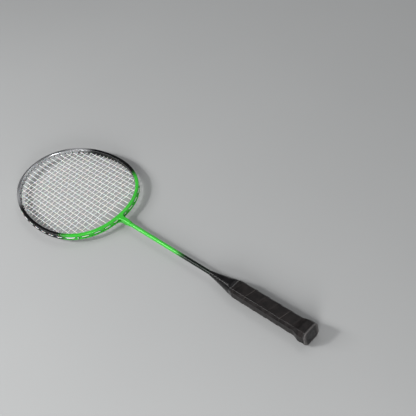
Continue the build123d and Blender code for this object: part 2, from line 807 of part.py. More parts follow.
class StringPath:
    """One continuous string: straight legs, bends and groove runs."""

    def __init__(self, start, level):
        self.edges = []
        self.level = level
        self.point = (*start, level)

    def line_to(self, end):
        end = (*end, self.level)
        if math.dist(end, self.point) > 1e-4:
            self.edges.append(Line(self.point, end))
        self.point = end

    def arc_to(self, end, tangent):
        end = (*end, self.level)
        self.edges.append(TangentArc(self.point, end, tangent=(*tangent, 0)))
        self.point = end

    def run(self, corner1, leg1, corner2, leg2):
        """Leave leg 1 at its corner, follow the groove, enter leg 2 at its corner."""
        length1, length2 = locate(RUN, corner1), locate(RUN, corner2)
        way = 1 if length2 > length1 else -1
        leg_end, first, on_run, tangent = groove_bend(corner1, leg1, length1, way, 1)
        leg_start, last, _, _ = groove_bend(corner2, leg2, length2, way, -1)
        self.line_to(leg_end)
        self.arc_to(on_run, leg1)
        stops = [t for t in arc_lengths(RUN)
                 if min(first, last) + 0.05 < t < max(first, last) - 0.05]
        for length in stops[::way] + [last]:
            x, y, angle = at_length(RUN, length)
            self.arc_to((x, y), tangent)
            tangent = loop_tangent(angle, way)
        self.arc_to(leg_start, tangent)

    def solid(self):
        wire = Wire(self.edges)
        plane = Plane(origin=wire @ 0, z_dir=wire % 0)
        return sweep(sections=plane * Circle(STRING_R), path=wire)


def stopper(hole_end, out, level):
    """String end and the knot that holds it against its grommet in the groove."""
    end = shift(hole_end, out, TAIL)
    knot = Pos(*shift(end, out, -KNOT_BACK), level) * Sphere(KNOT_R)
    knot = knot.cut(rod(*extend(hole_end, end, 4.0, 0.02), STRING_R + 0.01, level))
    # flat against the flange
    plane = facing(shift(hole_end, outward(hole_end), 0.02), outward(hole_end))
    knot = knot.cut(plane * (Pos(0, 0, -5) * Box(16, 16, 10)))
    # kept on its own side of the mid plane
    below = -5.02 if level > 0 else 5.02
    return end, knot.cut(Pos(*end, below) * Box(20, 20, 10))


def lace(legs, first_hole, last_hole, level):
    """String through all legs (start, end corners), with its two knots."""
    aims = [direction(start, end) for start, end in legs]
    first_end, first_knot = stopper(first_hole, (-aims[0][0], -aims[0][1]), level)
    last_end, last_knot = stopper(last_hole, aims[-1], level)
    path = StringPath(first_end, level)
    for n in range(1, len(legs)):
        path.run(legs[n - 1][1], aims[n - 1], legs[n][0], aims[n])
    path.line_to(last_end)
    return path.solid(), [first_knot, last_knot]


def build_main_string():
    """From the outermost main at y > 0 across to the outermost at y < 0."""
    order = [(1, i) for i in range(HALF_MAINS, 0, -1)]
    order += [(-1, i) for i in range(1, HALF_MAINS + 1)]
    legs = []
    for n, (side, i) in enumerate(order):
        throat, tip = (main_hit(side, i, RUN, end) for end in (THROAT, TIP))
        legs.append((tip, throat) if n % 2 == 0 else (throat, tip))
    return lace(legs, main_hit(*order[0], FLANGE_FACE, TIP),
                main_hit(*order[-1], FLANGE_FACE, TIP), MAIN_Z)


def build_cross_string():
    """From the throat end to the tip, starting at y > 0."""
    legs = []
    side = 1
    for j in range(N_CROSSES):
        legs.append((cross_hit(j, RUN, side), cross_hit(j, RUN, -side)))
        side = -side
    return lace(legs, cross_hit(0, FLANGE_FACE, 1),
                cross_hit(N_CROSSES - 1, FLANGE_FACE, side), CROSS_Z)


# ------------------------------------------------------------------ output
def solids_of(shape):
    if isinstance(shape, (list, tuple)):
        return [solid for item in shape for solid in solids_of(item)]
    return list(shape.solids())


cone, end_tape = build_cone_and_tape()
main_string, main_knots = build_main_string()
cross_string, cross_knots = build_cross_string()

PIECES = {
    "head_frame": build_head(),
    "throat_joint": build_joint(),
    "shaft_tube": build_shaft(),
    "shaft_plug": build_plug(),
    "handle_cone": cone,
    "handle_core": build_core(),
    "grip_underlay": build_underlay(),
    "grip_wrap": build_wrap(),
    "grip_end_tape": end_tape,
    "butt_cap": build_cap(),
    "butt_badge": build_badge(),
    "butt_pins": pins,
    **{name: build_grommets(belongs) for name, belongs in GROMMET_GROUPS.items()},
    "string_knots": main_knots + cross_knots,
    "main_string": main_string,
    "cross_string": cross_string,
}
for name, shape in PIECES.items():
    solids = solids_of(shape)
    piece = solids[0] if len(solids) == 1 else Compound(solids)
    piece.label = name
    export_step(piece, os.path.join("parts", name + ".step"))
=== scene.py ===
"""A badminton racket lying flat: visual meshes, materials and a studio for its CAD pieces.

The racket runs along +X from the butt cap (x = 0) to the tip of the head (x = 672 mm).
Y is across the head and Z is square to the string bed. Shapes are worked out in
millimetres and scaled to metres when a mesh is made; materials, lights and the camera
are in metres.
"""
import math
from functools import lru_cache

import bmesh
import bpy
import numpy as np
from mathutils import Matrix, Vector


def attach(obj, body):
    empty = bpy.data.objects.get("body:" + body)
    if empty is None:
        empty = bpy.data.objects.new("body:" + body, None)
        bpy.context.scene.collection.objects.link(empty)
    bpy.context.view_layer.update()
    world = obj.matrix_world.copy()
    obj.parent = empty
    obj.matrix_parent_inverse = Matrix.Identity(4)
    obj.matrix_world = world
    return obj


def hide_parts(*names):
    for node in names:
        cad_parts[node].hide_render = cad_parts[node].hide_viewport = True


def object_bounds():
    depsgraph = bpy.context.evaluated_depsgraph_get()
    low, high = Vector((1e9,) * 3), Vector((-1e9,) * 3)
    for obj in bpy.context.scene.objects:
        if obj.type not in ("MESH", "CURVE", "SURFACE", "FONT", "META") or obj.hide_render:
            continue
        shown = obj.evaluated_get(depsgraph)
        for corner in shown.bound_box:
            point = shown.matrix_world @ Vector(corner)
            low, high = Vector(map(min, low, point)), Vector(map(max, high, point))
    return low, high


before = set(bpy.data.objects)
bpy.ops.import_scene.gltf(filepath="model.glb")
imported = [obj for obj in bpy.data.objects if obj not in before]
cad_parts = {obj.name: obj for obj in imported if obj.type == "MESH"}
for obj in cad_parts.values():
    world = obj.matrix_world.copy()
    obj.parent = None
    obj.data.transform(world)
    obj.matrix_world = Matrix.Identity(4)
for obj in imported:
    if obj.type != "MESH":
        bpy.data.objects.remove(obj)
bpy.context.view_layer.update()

MM = 0.001

# ---------------------------------------------------------------------
# Dimensions, mm
# ---------------------------------------------------------------------
TOTAL_LENGTH = 672.0
TUBE_W = 6.2                                  # head tube, across its wall in the XY plane
HEAD_A, HEAD_B = 121.1, 97.9                  # half length and half width of the head
HEAD_N_TIP, HEAD_N_THROAT = 2.14, 2.17        # superellipse exponents
HEAD_EGG = -0.075                             # share of width gained towards the tip
HEAD_X = TOTAL_LENGTH - TUBE_W / 2 - HEAD_A   # centre of the head
ARM_Y = 17.7                                  # where the throat arc leaves the head

# Offsets from the head's centre line, positive outwards
GROOVE_DEPTH, FLANGE_T, LIP = 1.15, 0.4, 0.8
STRING_CLEARANCE = 0.51
OUT = TUBE_W / 2 - GROOVE_DEPTH + FLANGE_T    # outer mouth of a grommet
RUN = OUT + STRING_CLEARANCE                  # string lying in the groove
IN = -TUBE_W / 2 - LIP                        # inner mouth of a grommet

# Strings
N_MAINS, MAIN_PITCH = 20, 8.85
MAIN_FAN = 0.00035                            # narrowing of the pitch per mm towards the tip
CROSS_X0, CROSS_PITCH, N_CROSSES = 453.0, 9.03, 21
MAIN_Z, CROSS_Z = 0.45, -0.45                 # height in the grommets
MAIN_AMP, CROSS_AMP = 0.43, 0.57              # height of the weave
GROOVE_Z = 0.52                               # height of the runs in the groove
STRING_R, KNOT_STRING_R = 0.49, 0.36
TUBE_SIDES = 8
CORNER_CUT = 0.7                              # length taken off a string corner
END_PAST = 0.5                                # string end beyond its grommet

# Handle: half sizes of the octagon, and insets from it (negative is outwards)
GRIP_Y, GRIP_Z = 13.2, 11.6
GRIP_TOP, GRIP_SIDE = 9.6, 6.8                # half lengths of the faces across Z and Y
CORNER_R, SEG, FLAT = 1.7, 7, 8               # corner radius, steps per corner and per face
CORE_D, UNDER_D = 2.2, 1.7
FLARE, FLARE_X0, FLARE_X1 = 3.0, 15.0, 24.0   # swelling towards the butt
WRAP_T, WRAP_STEP, WRAP_PITCH = 1.5, 0.45, 23.3
WRAP_X0, WRAP_X1 = 3.0, 149.5
HELIX_X0 = WRAP_X0 - 9.6
BADGE_R = 8.6


# ---------------------------------------------------------------------
# Head curve: a closed chain of tangent arcs through nodes (x, y, normal x, normal y)
# ---------------------------------------------------------------------
def half_width(x):
    u = (x - HEAD_X) / HEAD_A
    n = HEAD_N_TIP if u > 0 else HEAD_N_THROAT
    v = max(0.0, 1 - abs(u) ** n) ** (1 / n)
    return HEAD_B * v * (1 + HEAD_EGG * u)


def x_of_y(y, tip):
    """X where the tip half, or the throat half, of the head is y wide; by bisection."""
    low, high = 0.0, 1.0
    sign = 1 if tip else -1
    for _ in range(70):
        middle = (low + high) / 2
        if half_width(HEAD_X + sign * middle * HEAD_A) > y:
            low = middle
        else:
            high = middle
    return HEAD_X + sign * low * HEAD_A


def head_node(x, y):
    """Node on the +Y half of the head, with its outward unit normal."""
    u = (x - HEAD_X) / HEAD_A
    step = 1e-3
    if abs(u) > 0.9:                          # steep here, so slope is taken along y
        tip = u > 0
        slope = (x_of_y(y + step, tip) - x_of_y(y - step, tip)) / (2 * step)
        nx, ny = (1.0, -slope) if tip else (-1.0, slope)
    else:
        slope = (half_width(x + step) - half_width(x - step)) / (2 * step)
        nx, ny = -slope, 1.0
    length = math.hypot(nx, ny)
    return (x, y, nx / length, ny / length)


def biarc_joint(start, end):
    """Node where the two tangent arcs between two nodes meet."""
    (x0, y0, nx0, ny0), (x1, y1, nx1, ny1) = start, end
    t0, t1 = (-ny0, nx0), (-ny1, nx1)
    vx, vy = x1 - x0, y1 - y0
    tx, ty = t0[0] + t1[0], t0[1] + t1[1]
    vv = vx * vx + vy * vy
    vt = vx * tx + vy * ty
    spread = 2 * (1 - (t0[0] * t1[0] + t0[1] * t1[1]))
    reach = (-vt + math.sqrt(vt * vt + spread * vv)) / spread
    mx = (x0 + x1 + reach * (t0[0] - t1[0])) / 2
    my = (y0 + y1 + reach * (t0[1] - t1[1])) / 2
    wx, wy = mx - x0, my - y0
    f = 2 * (wx * t0[0] + wy * t0[1]) / (wx * wx + wy * wy)
    tmx, tmy = f * wx - t0[0], f * wy - t0[1]
    length = math.hypot(tmx, tmy)
    return (mx, my, tmy / length, -tmx / length)


def chain(nodes):
    out = [nodes[0]]
    for start, end in zip(nodes, nodes[1:]):
        out += [biarc_joint(start, end), end]
    return out


def head_arcs():
    """Arcs (centre x, centre y, radius, start angle, end angle), anticlockwise from above."""
    left = [head_node(x_of_y(y, False), y) for y in (ARM_Y, 38.0, 62.0, 82.0)]
    left += [head_node(HEAD_X + dx, half_width(HEAD_X + dx)) for dx in (-34, 14, 58, 90)]
    left.append(head_node(x_of_y(34.0, True), 34.0))
    right = [(x, -y, nx, -ny) for (x, y, nx, ny) in left]
    tip = (HEAD_X + HEAD_A, 0.0, 1.0, 0.0)
    throat = (HEAD_X - HEAD_A, 0.0, -1.0, 0.0)
    loop = chain(right + [tip] + left[::-1]) + chain([left[0], throat, right[0]])[1:]
    arcs = []
    for start, end in zip(loop, loop[1:]):
        dx, dy = end[0] - start[0], end[1] - start[1]
        k = (dx * dx + dy * dy) / (2 * (dx * start[2] + dy * start[3]))
        a0, a1 = math.atan2(start[3], start[2]), math.atan2(end[3], end[2])
        while a1 < a0:
            a1 += 2 * math.pi
        arcs.append((start[0] + k * start[2], start[1] + k * start[3], -k, a0, a1))
    return arcs


ARCS = head_arcs()


def hit(offset, axis, value, side):
    """Point where the offset curve meets x or y = value, on the given side of the middle."""
    found = None
    for (cx, cy, r, a0, a1) in ARCS:
        radius = r + offset
        ratio = (value - (cy if axis == "y" else cx)) / radius
        if abs(ratio) > 1:
            continue
        if axis == "y":
            angles = [math.asin(ratio), math.pi - math.asin(ratio)]
        else:
            angles = [math.acos(ratio), -math.acos(ratio)]
        for a in angles:
            while a < a0 - 1e-7:
                a += 2 * math.pi
            while a > a0 + 2 * math.pi - 1e-7:
                a -= 2 * math.pi
            if a <= a1 + 1e-7:
                x, y = cx + radius * math.cos(a), cy + radius * math.sin(a)
                if (x - HEAD_X if axis == "y" else y) * side > 0:
                    found = (x, y)
    return found


def walk_table(offset):
    """Running length of the offset curve at the ends of its arcs."""
    table = [0.0]
    for (_, _, r, a0, a1) in ARCS:
        table.append(table[-1] + (r + offset) * (a1 - a0))
    return table


def locate(offset, point):
    """Length along the offset curve of the place nearest to a point."""
    table = walk_table(offset)
    best = None
    for i, (cx, cy, r, a0, a1) in enumerate(ARCS):
        a = math.atan2(point[1] - cy, point[0] - cx)
        while a < a0 - 1e-6:
            a += 2 * math.pi
        if a > a1 + 1e-6:
            continue
        miss = abs(math.hypot(point[0] - cx, point[1] - cy) - (r + offset))
        if best is None or miss < best[0]:
            best = (miss, table[i] + (r + offset) * (a - a0))
    return best[1]


def at_length(offset, length, table):
    length = length % table[-1]
    for i, (cx, cy, r, a0, _) in enumerate(ARCS):
        if length <= table[i + 1] + 1e-9:
            a = a0 + (length - table[i]) / (r + offset)
            return (cx + (r + offset) * math.cos(a), cy + (r + offset) * math.sin(a))


# ---------------------------------------------------------------------
# Layout of the string bed. A main is (side, i): side is the sign of y, i counts from 1
# at the middle. A cross is j, counted from the throat.
# ---------------------------------------------------------------------
HALF_MAINS = N_MAINS // 2


def fanned_y(i, x):
    return (i - 0.5) * MAIN_PITCH * (1 - MAIN_FAN * (x - HEAD_X))


def main_end(side, i, end):
    """Where a main meets the centre line of the head, at the tip (end 1) or throat (-1)."""
    y = fanned_y(i, HEAD_X + end * 80)
    for _ in range(8):
        x = hit(0, "y", y, end)[0]
        y = fanned_y(i, x)
    return (x, side * y)


# (side, i): (throat point, tip point)
MAINS = {(side, i): (main_end(side, i, -1), main_end(side, i, 1))
         for side in (1, -1) for i in range(1, HALF_MAINS + 1)}


def place_crosses():
    """X of each cross, moved off its pitch where its holes would be too near a main's."""
    clear, move, move_cost = 3.6, 0.1, 0.05
    main_holes = [locate(0, point) for ends in MAINS.values() for point in ends]
    places = []
    for j in range(N_CROSSES):
        best = None
        for k in range(15):
            for sign in (1, -1):
                x = CROSS_X0 + CROSS_PITCH * j + sign * k * move
                hole = locate(0, hit(0, "x", x, 1))
                gap = min(abs(hole - other) for other in main_holes)
                score = min(gap, clear) - move_cost * k
                if best is None or score > best[0] + 1e-9:
                    best = (score, x)
        places.append(best[1])
    return places


CROSS_X = place_crosses()


def main_at(side, i, x):
    (xa, ya), (xb, yb) = MAINS[side, i]
    return ya + (yb - ya) * (x - xa) / (xb - xa)


def main_hit(side, i, offset, tip):
    """Where a main meets the offset head curve."""
    x = MAINS[side, i][1 if tip else 0][0]
    for _ in range(10):
        x = hit(offset, "y", main_at(side, i, x), 1 if tip else -1)[0]
    return (x, main_at(side, i, x))


def inside_head(x, y):
    return abs(y) <= hit(0, "x", x, 1)[1] - TUBE_W / 2


def main_sign(side, i, j):
    """+1 where the main passes over the cross, -1 where it passes under."""
    column = i if side > 0 else 1 - i
    return 1 if (j + column) % 2 == 0 else -1


# ---------------------------------------------------------------------
# Mesh helpers
# ---------------------------------------------------------------------
def smooth01(t):
    t = min(1.0, max(0.0, t))
    return t * t * (3 - 2 * t)


def add_smooth_object(name, mesh):
    mesh.polygons.foreach_set("use_smooth", [True] * len(mesh.polygons))
    piece = bpy.data.objects.new(name, mesh)
    bpy.context.scene.collection.objects.link(piece)
    return piece


def new_piece(name, verts_mm, faces):
    mesh = bpy.data.meshes.new(name)
    verts = [tuple(float(c) * MM for c in v) for v in verts_mm]
    mesh.from_pydata(verts, [], [tuple(int(i) for i in f) for f in faces])
    mesh.validate()
    mesh.update()
    return add_smooth_object(name, mesh)


def add_attribute(mesh, name, values):
    attribute = mesh.attributes.new(name, "FLOAT", "POINT")
    attribute.data.foreach_set("value", np.array(values, np.float32))


def recalc_normals(piece):
    bm = bmesh.new()
    bm.from_mesh(piece.data)
    bmesh.ops.recalc_face_normals(bm, faces=bm.faces)
    bm.to_mesh(piece.data)
    bm.free()


def register(piece, material, node):
    """Gives a piece its material and puts it in the place of a CAD node."""
    piece.data.materials.append(material)
    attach(piece, "root")
    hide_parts(node)


def tube(path, radius):
    """Closed round tube along a polyline, by parallel transport."""
    count = len(path)
    tangents = np.zeros_like(path)
    tangents[1:-1] = path[2:] - path[:-2]
    tangents[0], tangents[-1] = path[1] - path[0], path[-1] - path[-2]
    tangents /= np.linalg.norm(tangents, axis=1)[:, None]
    normal = np.array((0, 0, 1.0))
    angles = np.arange(TUBE_SIDES) * 2 * math.pi / TUBE_SIDES
    cosines, sines = np.cos(angles)[:, None], np.sin(angles)[:, None]
    verts = np.zeros((count, TUBE_SIDES, 3))
    for i, tangent in enumerate(tangents):
        normal = normal - tangent * (normal @ tangent)
        normal /= np.linalg.norm(normal)
        binormal = np.cross(tangent, normal)
        verts[i] = path[i] + radius * (cosines * normal + sines * binormal)
    faces = []
    for first in range(0, (count - 1) * TUBE_SIDES, TUBE_SIDES):
        for k in range(TUBE_SIDES):
            k1 = (k + 1) % TUBE_SIDES
            faces.append((first + k, first + k1, first + TUBE_SIDES + k1,
                          first + TUBE_SIDES + k))
    faces.append(tuple(range(TUBE_SIDES - 1, -1, -1)))
    faces.append(tuple((count - 1) * TUBE_SIDES + k for k in range(TUBE_SIDES)))
    return verts.reshape(-1, 3), faces


# ---------------------------------------------------------------------
# Materials
# ---------------------------------------------------------------------
class Mat:
    """A Principled material with short calls for its nodes. Textures use object space."""

    def __init__(self, name):
        self.material = bpy.data.materials.new(name)
        self.material.use_nodes = True
        self.tree = self.material.node_tree
        self.tree.nodes.clear()
        output = self.node("ShaderNodeOutputMaterial")
        self.shader = self.node("ShaderNodeBsdfPrincipled")
        self.tree.links.new(self.shader.outputs[0], output.inputs[0])
        self.object_space = self.node("ShaderNodeTexCoord").outputs["Object"]

    def feed(self, socket, value):
        """Links a socket to another, or sets its value."""
        if isinstance(value, bpy.types.NodeSocket):
            self.tree.links.new(value, socket)
        elif socket.type == "RGBA":
            socket.default_value = (*value, 1)
        else:
            socket.default_value = value

    def node(self, kind, inputs=None, **properties):
        node = self.tree.nodes.new(kind)
        for name, value in properties.items():
            setattr(node, name, value)
        for key, value in (inputs or {}).items():
            self.feed(node.inputs[key], value)
        return node

    def set(self, **inputs):
        """Feeds inputs of the Principled shader."""
        for name, value in inputs.items():
            self.feed(self.shader.inputs[name.replace("_", " ")], value)

    def math(self, operation, *values):
        inputs = dict(enumerate(values))
        return self.node("ShaderNodeMath", inputs, operation=operation).outputs[0]

    def noise(self, scale, detail, roughness=0.5, vector=None):
        return self.node("ShaderNodeTexNoise", {
            "Scale": scale, "Detail": detail, "Roughness": roughness,
            "Vector": vector or self.object_space}).outputs["Fac"]

    def remap(self, value, span, to=(0, 1), smooth=False):
        """Maps the range span to the range to, clamped."""
        return self.node("ShaderNodeMapRange", dict(enumerate((value, *span, *to))),
                         interpolation_type="SMOOTHSTEP" if smooth else "LINEAR").outputs[0]

    def patches(self, scale, detail, span, to=(0, 1), roughness=0.5):
        """Noise with the range span mapped to the range to."""
        return self.remap(self.noise(scale, detail, roughness), span, to)

    def voronoi(self, scale, feature, output):
        inputs = {"Scale": scale, "Vector": self.object_space}
        return self.node("ShaderNodeTexVoronoi", inputs, feature=feature).outputs[output]

    def mix(self, share, a, b, blend="MIX"):
        return self.node("ShaderNodeMix", {0: share, 6: a, 7: b},
                         data_type="RGBA", blend_type=blend).outputs[2]

    def separate(self):
        return self.node("ShaderNodeSeparateXYZ", {0: self.object_space}).outputs[0:3]

    def scaled(self, x, y, z):
        inputs = {"Scale": (x, y, z), "Vector": self.object_space}
        return self.node("ShaderNodeMapping", inputs).outputs[0]

    def attribute(self, name):
        return self.node("ShaderNodeAttribute", attribute_name=name).outputs["Fac"]

    def bump(self, height, strength, distance, normal=None):
        inputs = {"Strength": strength, "Distance": distance, "Height": height}
        if normal is not None:
            inputs["Normal"] = normal
        return self.node("ShaderNodeBump", inputs).outputs[0]


GREEN, GREEN_DEEP = (0.050, 0.500, 0.042), (0.026, 0.36, 0.024)
BLACK = (0.0035, 0.0040, 0.0042)
SILVER, SILVER_DULL = (0.78, 0.79, 0.81), (0.60, 0.61, 0.63)


def wandering_x(m, scale):
    """X with a slow wobble, for uneven edges where one colour fades into the next."""
    x = m.separate()[0]
    return m.math("ADD", x, m.patches(scale=scale, detail=2, span=(0.3, 0.7),
                                      to=(-0.003, 0.003)))


def green_paint(m, deepest):
    share = m.patches(scale=45, detail=3, span=(0.35, 0.65), to=(0, deepest))
    return m.mix(share, GREEN, GREEN_DEEP)


def metal_flake(m):
    return m.remap(m.voronoi(scale=2600, feature="F1", output="Color"), span=(0, 1))


def flake_sparkle(m, flake, strength):
    sharpness = 6.0                           # keeps only the brightest flakes
    return m.math("MULTIPLY", m.math("POWER", flake, sharpness), strength)


def frame_paint():
    """Green, then black, then metallic silver towards the tip."""
    m = Mat("frame_paint")
    x = wandering_x(m, scale=60)
    to_black = m.remap(x, span=(0.460, 0.494), smooth=True)
    to_silver = m.remap(x, span=(0.590, 0.652), smooth=True)
    colour = m.mix(to_black, green_paint(m, deepest=0.35), BLACK)
    dulling = m.patches(scale=30, detail=3, span=(0.35, 0.7), to=(0, 0.25))
    colour = m.mix(to_silver, colour, m.mix(dulling, SILVER, SILVER_DULL))
    flake = metal_flake(m)
    colour = m.mix(flake_sparkle(m, flake, strength=0.10), colour, colour, blend="ADD")
    # sparse paint nicks, kept to a few regions
    nicks = m.math("MULTIPLY",
                   m.patches(scale=520, detail=3, roughness=0.6, span=(0.70, 0.74), to=(0, 0.8)),
                   m.patches(scale=38, detail=2, span=(0.50, 0.60)))
    colour = m.mix(nicks, colour, (0.42, 0.44, 0.42))
    # painted shade: colour darkened to near black in hollows and holes, where ambient occlusion
    # finds them
    occlusion = m.node("ShaderNodeAmbientOcclusion", {"Distance": 0.0032}, samples=6)
    hollow_shade = m.remap(occlusion.outputs["AO"], span=(0.10, 0.42), to=(1.0, 0.0), smooth=True)
    hollow_shade_strength = 0.95
    colour = m.mix(m.math("MULTIPLY", hollow_shade, hollow_shade_strength), colour, (0.003, 0.004, 0.003))
    silver_metal, least_metal = 0.97, 0.10
    m.set(Base_Color=colour,
          Metallic=m.math("MAXIMUM", m.math("MULTIPLY", to_silver, silver_metal), least_metal),
          Roughness=m.patches(scale=900, detail=2, span=(0.3, 0.7), to=(0.19, 0.30)))
    black_part = m.math("MULTIPLY", to_black, m.math("SUBTRACT", 1.0, to_silver))
    m.set(Coat_Weight=m.remap(black_part, span=(0, 1), to=(0.5, 0.22)),
          Specular_IOR_Level=m.remap(black_part, span=(0, 1), to=(0.32, 0.20)),
          Coat_Roughness=0.08)
    peel = m.noise(scale=700, detail=2)
    flake_bump = m.bump(flake, strength=0.05, distance=0.0001)
    m.set(Normal=m.bump(peel, strength=0.10, distance=0.0002, normal=flake_bump))
    return m.material


def shaft_paint():
    """Black, then green towards the head, with faint lengthwise streaks."""
    m = Mat("shaft_paint")
    to_green = m.remap(wandering_x(m, scale=80), span=(0.258, 0.296), smooth=True)
    green = green_paint(m, deepest=0.3)
    streak = m.noise(scale=1, detail=3, roughness=0.6, vector=m.scaled(60, 2600, 2600))
    colour = m.mix(to_green, BLACK, green)
    sparkle = flake_sparkle(m, metal_flake(m), strength=0.12)
    m.set(Base_Color=m.mix(sparkle, colour, (0.35, 0.75, 0.40)),
          Metallic=0.10,
          Coat_Roughness=0.07,
          Coat_Weight=m.remap(to_green, span=(0, 1), to=(0.18, 0.5)),
          Specular_IOR_Level=m.remap(to_green, span=(0, 1), to=(0.18, 0.32)),
          Roughness=m.remap(streak, span=(0.3, 0.7), to=(0.20, 0.34)),
          Normal=m.bump(streak, strength=0.06, distance=0.0002))
    return m.material


def cone_plastic():
    m = Mat("cone_plastic")
    peel = m.noise(scale=420, detail=2)
    fine = m.noise(scale=2600, detail=2)
    colour = m.mix(m.patches(scale=60, detail=4, span=(0.4, 0.65)),
                   (0.0035, 0.0033, 0.0038), (0.0075, 0.0068, 0.0076))
    wear_and_rim_highlight = m.math("MULTIPLY",
                  m.patches(scale=640, detail=3, roughness=0.6, span=(0.66, 0.74), to=(0, 0.5)),
                  m.patches(scale=50, detail=2, span=(0.48, 0.6)))
    fine_bump = m.bump(fine, strength=0.06, distance=0.0001)
    m.set(Base_Color=m.mix(wear_and_rim_highlight, colour, (0.05, 0.047, 0.05)),
          Roughness=m.remap(fine, span=(0.3, 0.7), to=(0.18, 0.28)),
          Coat_Weight=0.14, Coat_Roughness=0.12, Specular_IOR_Level=0.26,
          Normal=m.bump(peel, strength=0.12, distance=0.0003, normal=fine_bump))
    return m.material


def grip_tape():
    """Black leathery tape, paler along the edge of each turn with painted highlight and wear."""
    m = Mat("grip_tape")
    grain = m.remap(m.voronoi(scale=1500, feature="DISTANCE_TO_EDGE", output="Distance"),
                    span=(0.0, 0.25))
    fine = m.noise(scale=3200, detail=2)
    scuff = m.noise(scale=90, detail=5, roughness=0.62)
    seam = m.attribute("seam")
    colour = m.mix(m.remap(scuff, span=(0.38, 0.66)),
                   (0.0060, 0.0052, 0.0052), (0.0150, 0.0122, 0.0120))
    # painted highlight and wear: colour paler along the leading edge of each turn
    edge_wear_and_highlight_share = m.math("MULTIPLY", seam, m.remap(scuff, span=(0.3, 0.55), to=(0.55, 1.0)))
    colour = m.mix(edge_wear_and_highlight_share, colour, (0.085, 0.074, 0.070))
    roughness = m.remap(scuff, span=(0.35, 0.68), to=(0.27, 0.42))
    fine_roughness = 0.06
    roughness = m.math("ADD", roughness, m.math("MULTIPLY", fine, fine_roughness))
    fine_bump = m.bump(fine, strength=0.12, distance=0.0001)
    m.set(Base_Color=colour, Roughness=roughness,
          Specular_IOR_Level=0.22, Sheen_Weight=0.01, Sheen_Roughness=0.5,
          Normal=m.bump(grain, strength=0.22, distance=0.00012, normal=fine_bump))
    return m.material


def end_tape():
    m = Mat("end_tape")
    streak = m.noise(scale=1, detail=3, roughness=0.6, vector=m.scaled(1800, 160, 160))
    m.set(Base_Color=m.mix(m.remap(streak, span=(0.35, 0.65)),
                           (0.0055, 0.0053, 0.0058), (0.013, 0.012, 0.013)),
          Roughness=m.patches(scale=700, detail=3, span=(0.3, 0.7), to=(0.14, 0.24)),
          Coat_Weight=0.5, Coat_Roughness=0.08,
          Normal=m.bump(streak, strength=0.15, distance=0.0001))
    return m.material


def butt_plastic():
    """Dark plastic, paler round the rim with painted highlight and rubbed wear."""
    m = Mat("butt_plastic")
    spark = m.noise(scale=1800, detail=3, roughness=0.6)
    blot = m.noise(scale=70, detail=4)
    colour = m.mix(m.remap(blot, span=(0.35, 0.65)),
                   (0.0085, 0.0078, 0.0080), (0.018, 0.0160, 0.0165))
    # painted highlight and wear: paler colour on the outer rim of the cap
    wear_and_rim_highlight = m.math("MULTIPLY", m.attribute("rim"),
                  m.patches(scale=400, detail=3, span=(0.35, 0.6), to=(0.35, 1)))
    m.set(Base_Color=m.mix(wear_and_rim_highlight, colour, (0.16, 0.148, 0.145)),
          Roughness=m.remap(blot, span=(0.3, 0.7), to=(0.32, 0.46)),
          Normal=m.bump(spark, strength=0.18, distance=0.00015))
    return m.material


def badge_plastic():
    """Dark plastic with fine rings about the X axis."""
    m = Mat("badge_plastic")
    ring_frequency = 14000.0                  # radians per metre of radius
    _, y, z = m.separate()
    radius = m.math("SQRT", m.math("ADD", m.math("MULTIPLY", y, y), m.math("MULTIPLY", z, z)))
    rings = m.math("SINE", m.math("MULTIPLY", radius, ring_frequency))
    m.set(Base_Color=m.mix(m.patches(scale=300, detail=3, span=(0.4, 0.6)),
                           (0.0085, 0.0085, 0.0090), (0.016, 0.0155, 0.0165)),
          Roughness=m.remap(rings, span=(-1, 1), to=(0.22, 0.34)),
          Coat_Weight=0.25, Coat_Roughness=0.15, Specular_IOR_Level=0.35,
          Normal=m.bump(rings, strength=0.08, distance=0.0001))
    return m.material


def grommet_plastic():
    m = Mat("grommet_plastic")
    blot = m.noise(scale=500, detail=3)
    fine = m.noise(scale=3000, detail=2)
    m.set(Base_Color=m.mix(m.remap(blot, span=(0.35, 0.65)),
                           (0.006, 0.007, 0.006), (0.018, 0.022, 0.018)),
          Roughness=m.remap(fine, span=(0.3, 0.7), to=(0.30, 0.46)),
          Subsurface_Weight=0.05,
          Normal=m.bump(fine, strength=0.15, distance=0.0001))
    return m.material


def string_nylon():
    """White nylon with two crossed sets of fine spiral ridges."""
    m = Mat("string_nylon")
    spiral_rate = 2.2                         # turns per mm, before the frequency
    spiral_frequency = 25.13
    along, around = m.attribute("along"), m.attribute("around")
    ridges = []
    for hand in ("ADD", "SUBTRACT"):
        phase = m.math(hand, m.math("MULTIPLY", along, spiral_rate), around)
        ridges.append(m.math("SINE", m.math("MULTIPLY", phase, spiral_frequency)))
    braid = m.math("MAXIMUM", *ridges)
    colour = m.mix(m.patches(scale=120, detail=4, roughness=0.6, span=(0.3, 0.7)),
                   (0.93, 0.94, 0.92), (0.84, 0.855, 0.83))
    # painted shade: colour darker in the grooves between the spiral ridges
    colour = m.mix(m.remap(braid, span=(-1, 0.2), to=(0.35, 0.0)), colour, (0.60, 0.62, 0.58))
    m.set(Base_Color=colour,
          Roughness=m.patches(scale=900, detail=2, span=(0.3, 0.7), to=(0.22, 0.38)),
          Subsurface_Weight=0.15, Subsurface_Scale=0.0006,
          Coat_Weight=0.4, Coat_Roughness=0.15,
          Normal=m.bump(braid, strength=0.25, distance=0.00004))
    return m.material


